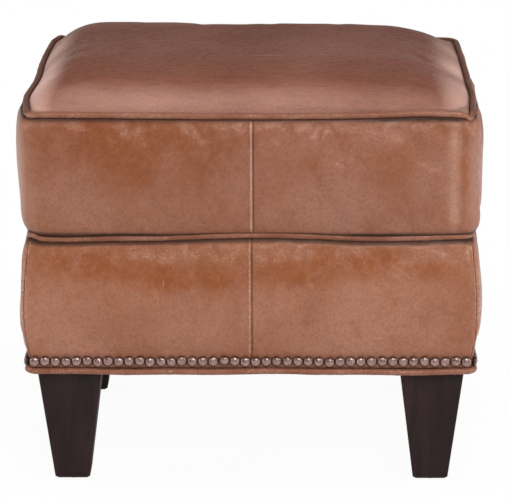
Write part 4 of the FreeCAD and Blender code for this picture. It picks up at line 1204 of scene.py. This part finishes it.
def base_padding_section(turn):
    """Felt between the frame and the base cover: up the cover's inside and down the frame's face."""
    z = np.linspace(BAND_BOTTOM_Z + 0.5, BASE_TOP_Z - 2.5, 26)[None, :]
    growth, bow, corner = base_growth(z)
    x, y, _, _ = outline(np.maximum(growth - FELT_GAP, FELT_GROWTH), bow, corner, turn)
    outer = np.stack([x, y, z + 0 * x], axis=-1)
    back = z[:, ::-5]
    x, y, _, _ = outline(np.full(back.shape, FELT_BACK), FRAME_BOW, FRAME_CORNER + FELT_BACK, turn)
    return np.concatenate([outer, np.stack([x, y, back + 0 * x], axis=-1)], axis=1)


def dust_cover(columns=150, rows=126):
    """Black cloth stapled under the frame: a flat grid that sags a little and puckers between staples."""
    low, high = box_of("dust_cover")
    x, y = np.meshgrid(np.linspace(low[0], high[0], columns), np.linspace(low[1], high[1], rows))
    inside = (1 - (x / high[0]) ** 2) * (1 - (y / high[1]) ** 2)
    edge = np.minimum(high[0] - np.abs(x), high[1] - np.abs(y))
    flat = np.stack([x, y, 0 * x], axis=-1)
    over_leg = smooth(np.abs(x), 150, 172) * smooth(np.abs(y), 108, 130)
    ripple = 0.5 * soft_noise(flat, 36, 71) * smooth(edge, 4, 30) + 0.9 * soft_noise(flat, 120, 72) * inside
    z = (low[2] + high[2]) / 2 - (DUST_SAG * inside + np.abs(ripple)) * (1 - over_leg)
    faces = grid_faces(rows, columns)[:, ::-1]
    cloth = piece("dust_cover", np.stack([x, y, z], axis=-1), faces, dust_cloth, "dust_cloth")
    thicken(cloth, high[2] - low[2], 0.0)


closed_pad("fiber_wrap", cushion_form(7.0, 9.5, 18), padding_fibre, "padding", 0.9)
closed_pad("foam_core", cushion_form(15.0, 20.0, 14), foam_cells, "foam", 1.0)
closed_pad("deck_pad", slab_form("deck_pad", 7), felt_fibre, "padding", 0.5)
closed_pad("deck_cloth", slab_form("deck_cloth", 5), deck_weave, "deck_cloth", 0.1)
ring_pad("edge_roll", edge_roll_section, felt_fibre, "padding", 0.8)
for pad_name, pad_span in (
    ("base_padding_front", (4 - CORNER, 4 + CORNER)), ("base_padding_right", (CORNER, 2 - CORNER)),
    ("base_padding_back", (2 - CORNER, 2 + CORNER)), ("base_padding_left", (2 + CORNER, 4 - CORNER)),
):
    ring_pad(pad_name, base_padding_section, felt_fibre, "padding", 0.8, 110, pad_span)
dust_cover()


# ---------------------------------------------------------------------------
# Finishes on the rigid parts that stay as they are in the solid model

KEPT = {
    "leg_": leg_wood, "rail_": frame_wood, "corner_block": frame_wood, "zigzag": steel, "spring_": steel,
    "tie_wire": steel, "hanger_bolts": steel, "tee_nuts": steel, "frame_screws": steel,
    "dust_cover_staples": steel, "glides": glide_nylon, "tack_strips": tack_board,
}
for node_name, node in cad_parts.items():
    for start, finish in KEPT.items():
        if node_name.startswith(start):
            node.data.materials.clear()
            node.data.materials.append(finish)
            break


# ---------------------------------------------------------------------------
# Camera, floor and light

WHITE = (1.0, 1.0, 1.0, 1.0)
FLOOR_HALF = 14.0  # metres

# The view: degrees round, up and rolled, metres away, the point it looks at, and the lens
VIEW_TURN, VIEW_RISE, VIEW_ROLL, VIEW_DISTANCE = 0.94, 15.44, -0.21, 3.6574
VIEW_TARGET = (0.0017, 0.0, 0.2232)
LENS, SENSOR = 218.76, 36.0


def add_camera():
    """The picture's view: from the front, a little above, with a long lens."""
    turn, rise, roll = (math.radians(v) for v in (VIEW_TURN, VIEW_RISE, VIEW_ROLL))
    back = Vector((math.sin(turn) * math.cos(rise), -math.cos(turn) * math.cos(rise), math.sin(rise)))
    right = (-back).cross(Vector((0, 0, 1))).normalized()
    up = right.cross(-back)
    right, up = math.cos(roll) * right + math.sin(roll) * up, math.cos(roll) * up - math.sin(roll) * right
    data = bpy.data.cameras.new("camera")
    data.sensor_fit, data.sensor_width, data.lens = "HORIZONTAL", SENSOR, LENS
    data.clip_start, data.clip_end = 0.05, 60.0
    camera = bpy.data.objects.new("camera", data)
    bpy.context.scene.collection.objects.link(camera)
    turned = Matrix((right, up, back)).transposed()
    camera.matrix_world = Matrix.Translation(Vector(VIEW_TARGET) + back * VIEW_DISTANCE) @ turned.to_4x4()
    bpy.context.scene.camera = camera


def ray(f, *kinds):
    """1 on rays of any of these kinds, from the Light Path node."""
    first, *rest = [f.node("ShaderNodeLightPath", output=f"Is {kind} Ray") for kind in kinds]
    for other in rest:
        first = first.most(other)
    return first


def add_floor():
    """A white floor that keeps the stool's soft shadow near it and is plain white further out."""
    f = Finish("studio_floor")
    far = f.step(f.node("ShaderNodeVectorMath", {"operation": "LENGTH"}, {0: f.place()}, output="Value"), 0.3, 0.9)
    seen = ray(f, "Camera", "Transmission").most(ray(f, "Glossy") * 0.35)
    lit = f.node("ShaderNodeBsdfDiffuse", {}, {"Color": (0.86, 0.86, 0.86, 1.0)})
    white = f.node("ShaderNodeEmission", {}, {"Color": WHITE, "Strength": 1.0})
    mixed = f.node("ShaderNodeMixShader", {}, {0: seen * (far * 0.05 + 0.95), 1: lit, 2: white})
    under = f.node("ShaderNodeNewGeometry", output="Backfacing")
    clear = f.node("ShaderNodeBsdfTransparent")
    shown = f.node("ShaderNodeMixShader", {}, {0: under, 1: mixed, 2: clear})
    f.node("ShaderNodeOutputMaterial", {}, {"Surface": shown})
    mesh = bpy.data.meshes.new("floor")
    corners = [(x * FLOOR_HALF, y * FLOOR_HALF, 0.0) for x, y in ((-1, -1), (1, -1), (1, 1), (-1, 1))]
    mesh.from_pydata(corners, [], [(0, 1, 2, 3)])
    mesh.materials.append(f.owner)
    floor = bpy.data.objects.new("floor", mesh)
    bpy.context.scene.collection.objects.link(floor)


def add_world():
    """White to the camera, a sky that darkens upwards and behind the camera to reflections, and a soft even
    light to everything else."""
    world = bpy.data.worlds.new("studio")
    bpy.context.scene.world = world
    f = Finish("studio", world)
    camera, glossy = ray(f, "Camera"), ray(f, "Glossy", "Transmission")
    direction = f.node("ShaderNodeTexCoord", output="Generated")
    behind = f.step(f.part(direction, 1), -0.8, -0.2, 0.3, 1.0)
    sky = f.step(f.part(direction, 2), 0.0, 0.18, 1.0, 0.14) * behind
    strength = camera + (1 - camera) * (glossy * sky + (1 - glossy) * 0.38)
    light = f.node("ShaderNodeBackground", {}, {"Color": WHITE, "Strength": strength})
    f.node("ShaderNodeOutputWorld", {}, {"Surface": light})


def add_lamp(name, place, aim, size, power):
    """A rectangular softbox, aimed at a height over the stool's middle."""
    data = bpy.data.lights.new(name, "AREA")
    data.shape, data.size, data.size_y = "RECTANGLE", size[0], size[1]
    data.energy = power
    lamp = bpy.data.objects.new(name, data)
    bpy.context.scene.collection.objects.link(lamp)
    lamp.location = place
    lamp.rotation_euler = (Vector((0, 0, aim)) - Vector(place)).to_track_quat("-Z", "Y").to_euler()


# Name, place, height aimed at, size and power
LAMPS = (
    ("front_softbox", (0.6, -2.6, 2.0), 0.28, (1.4, 1.0), 60),
    ("left_softbox", (-2.5, -0.5, 1.15), 0.3, (1.0, 1.4), 26),
    ("right_softbox", (2.5, -0.5, 1.15), 0.3, (1.0, 1.4), 26),
    ("top_softbox", (0.0, -0.2, 2.3), 0.3, (1.8, 0.9), 16),
)

add_camera()
add_floor()
add_world()
for lamp in LAMPS:
    add_lamp(*lamp)
bpy.context.scene.view_settings.view_transform = "Standard"
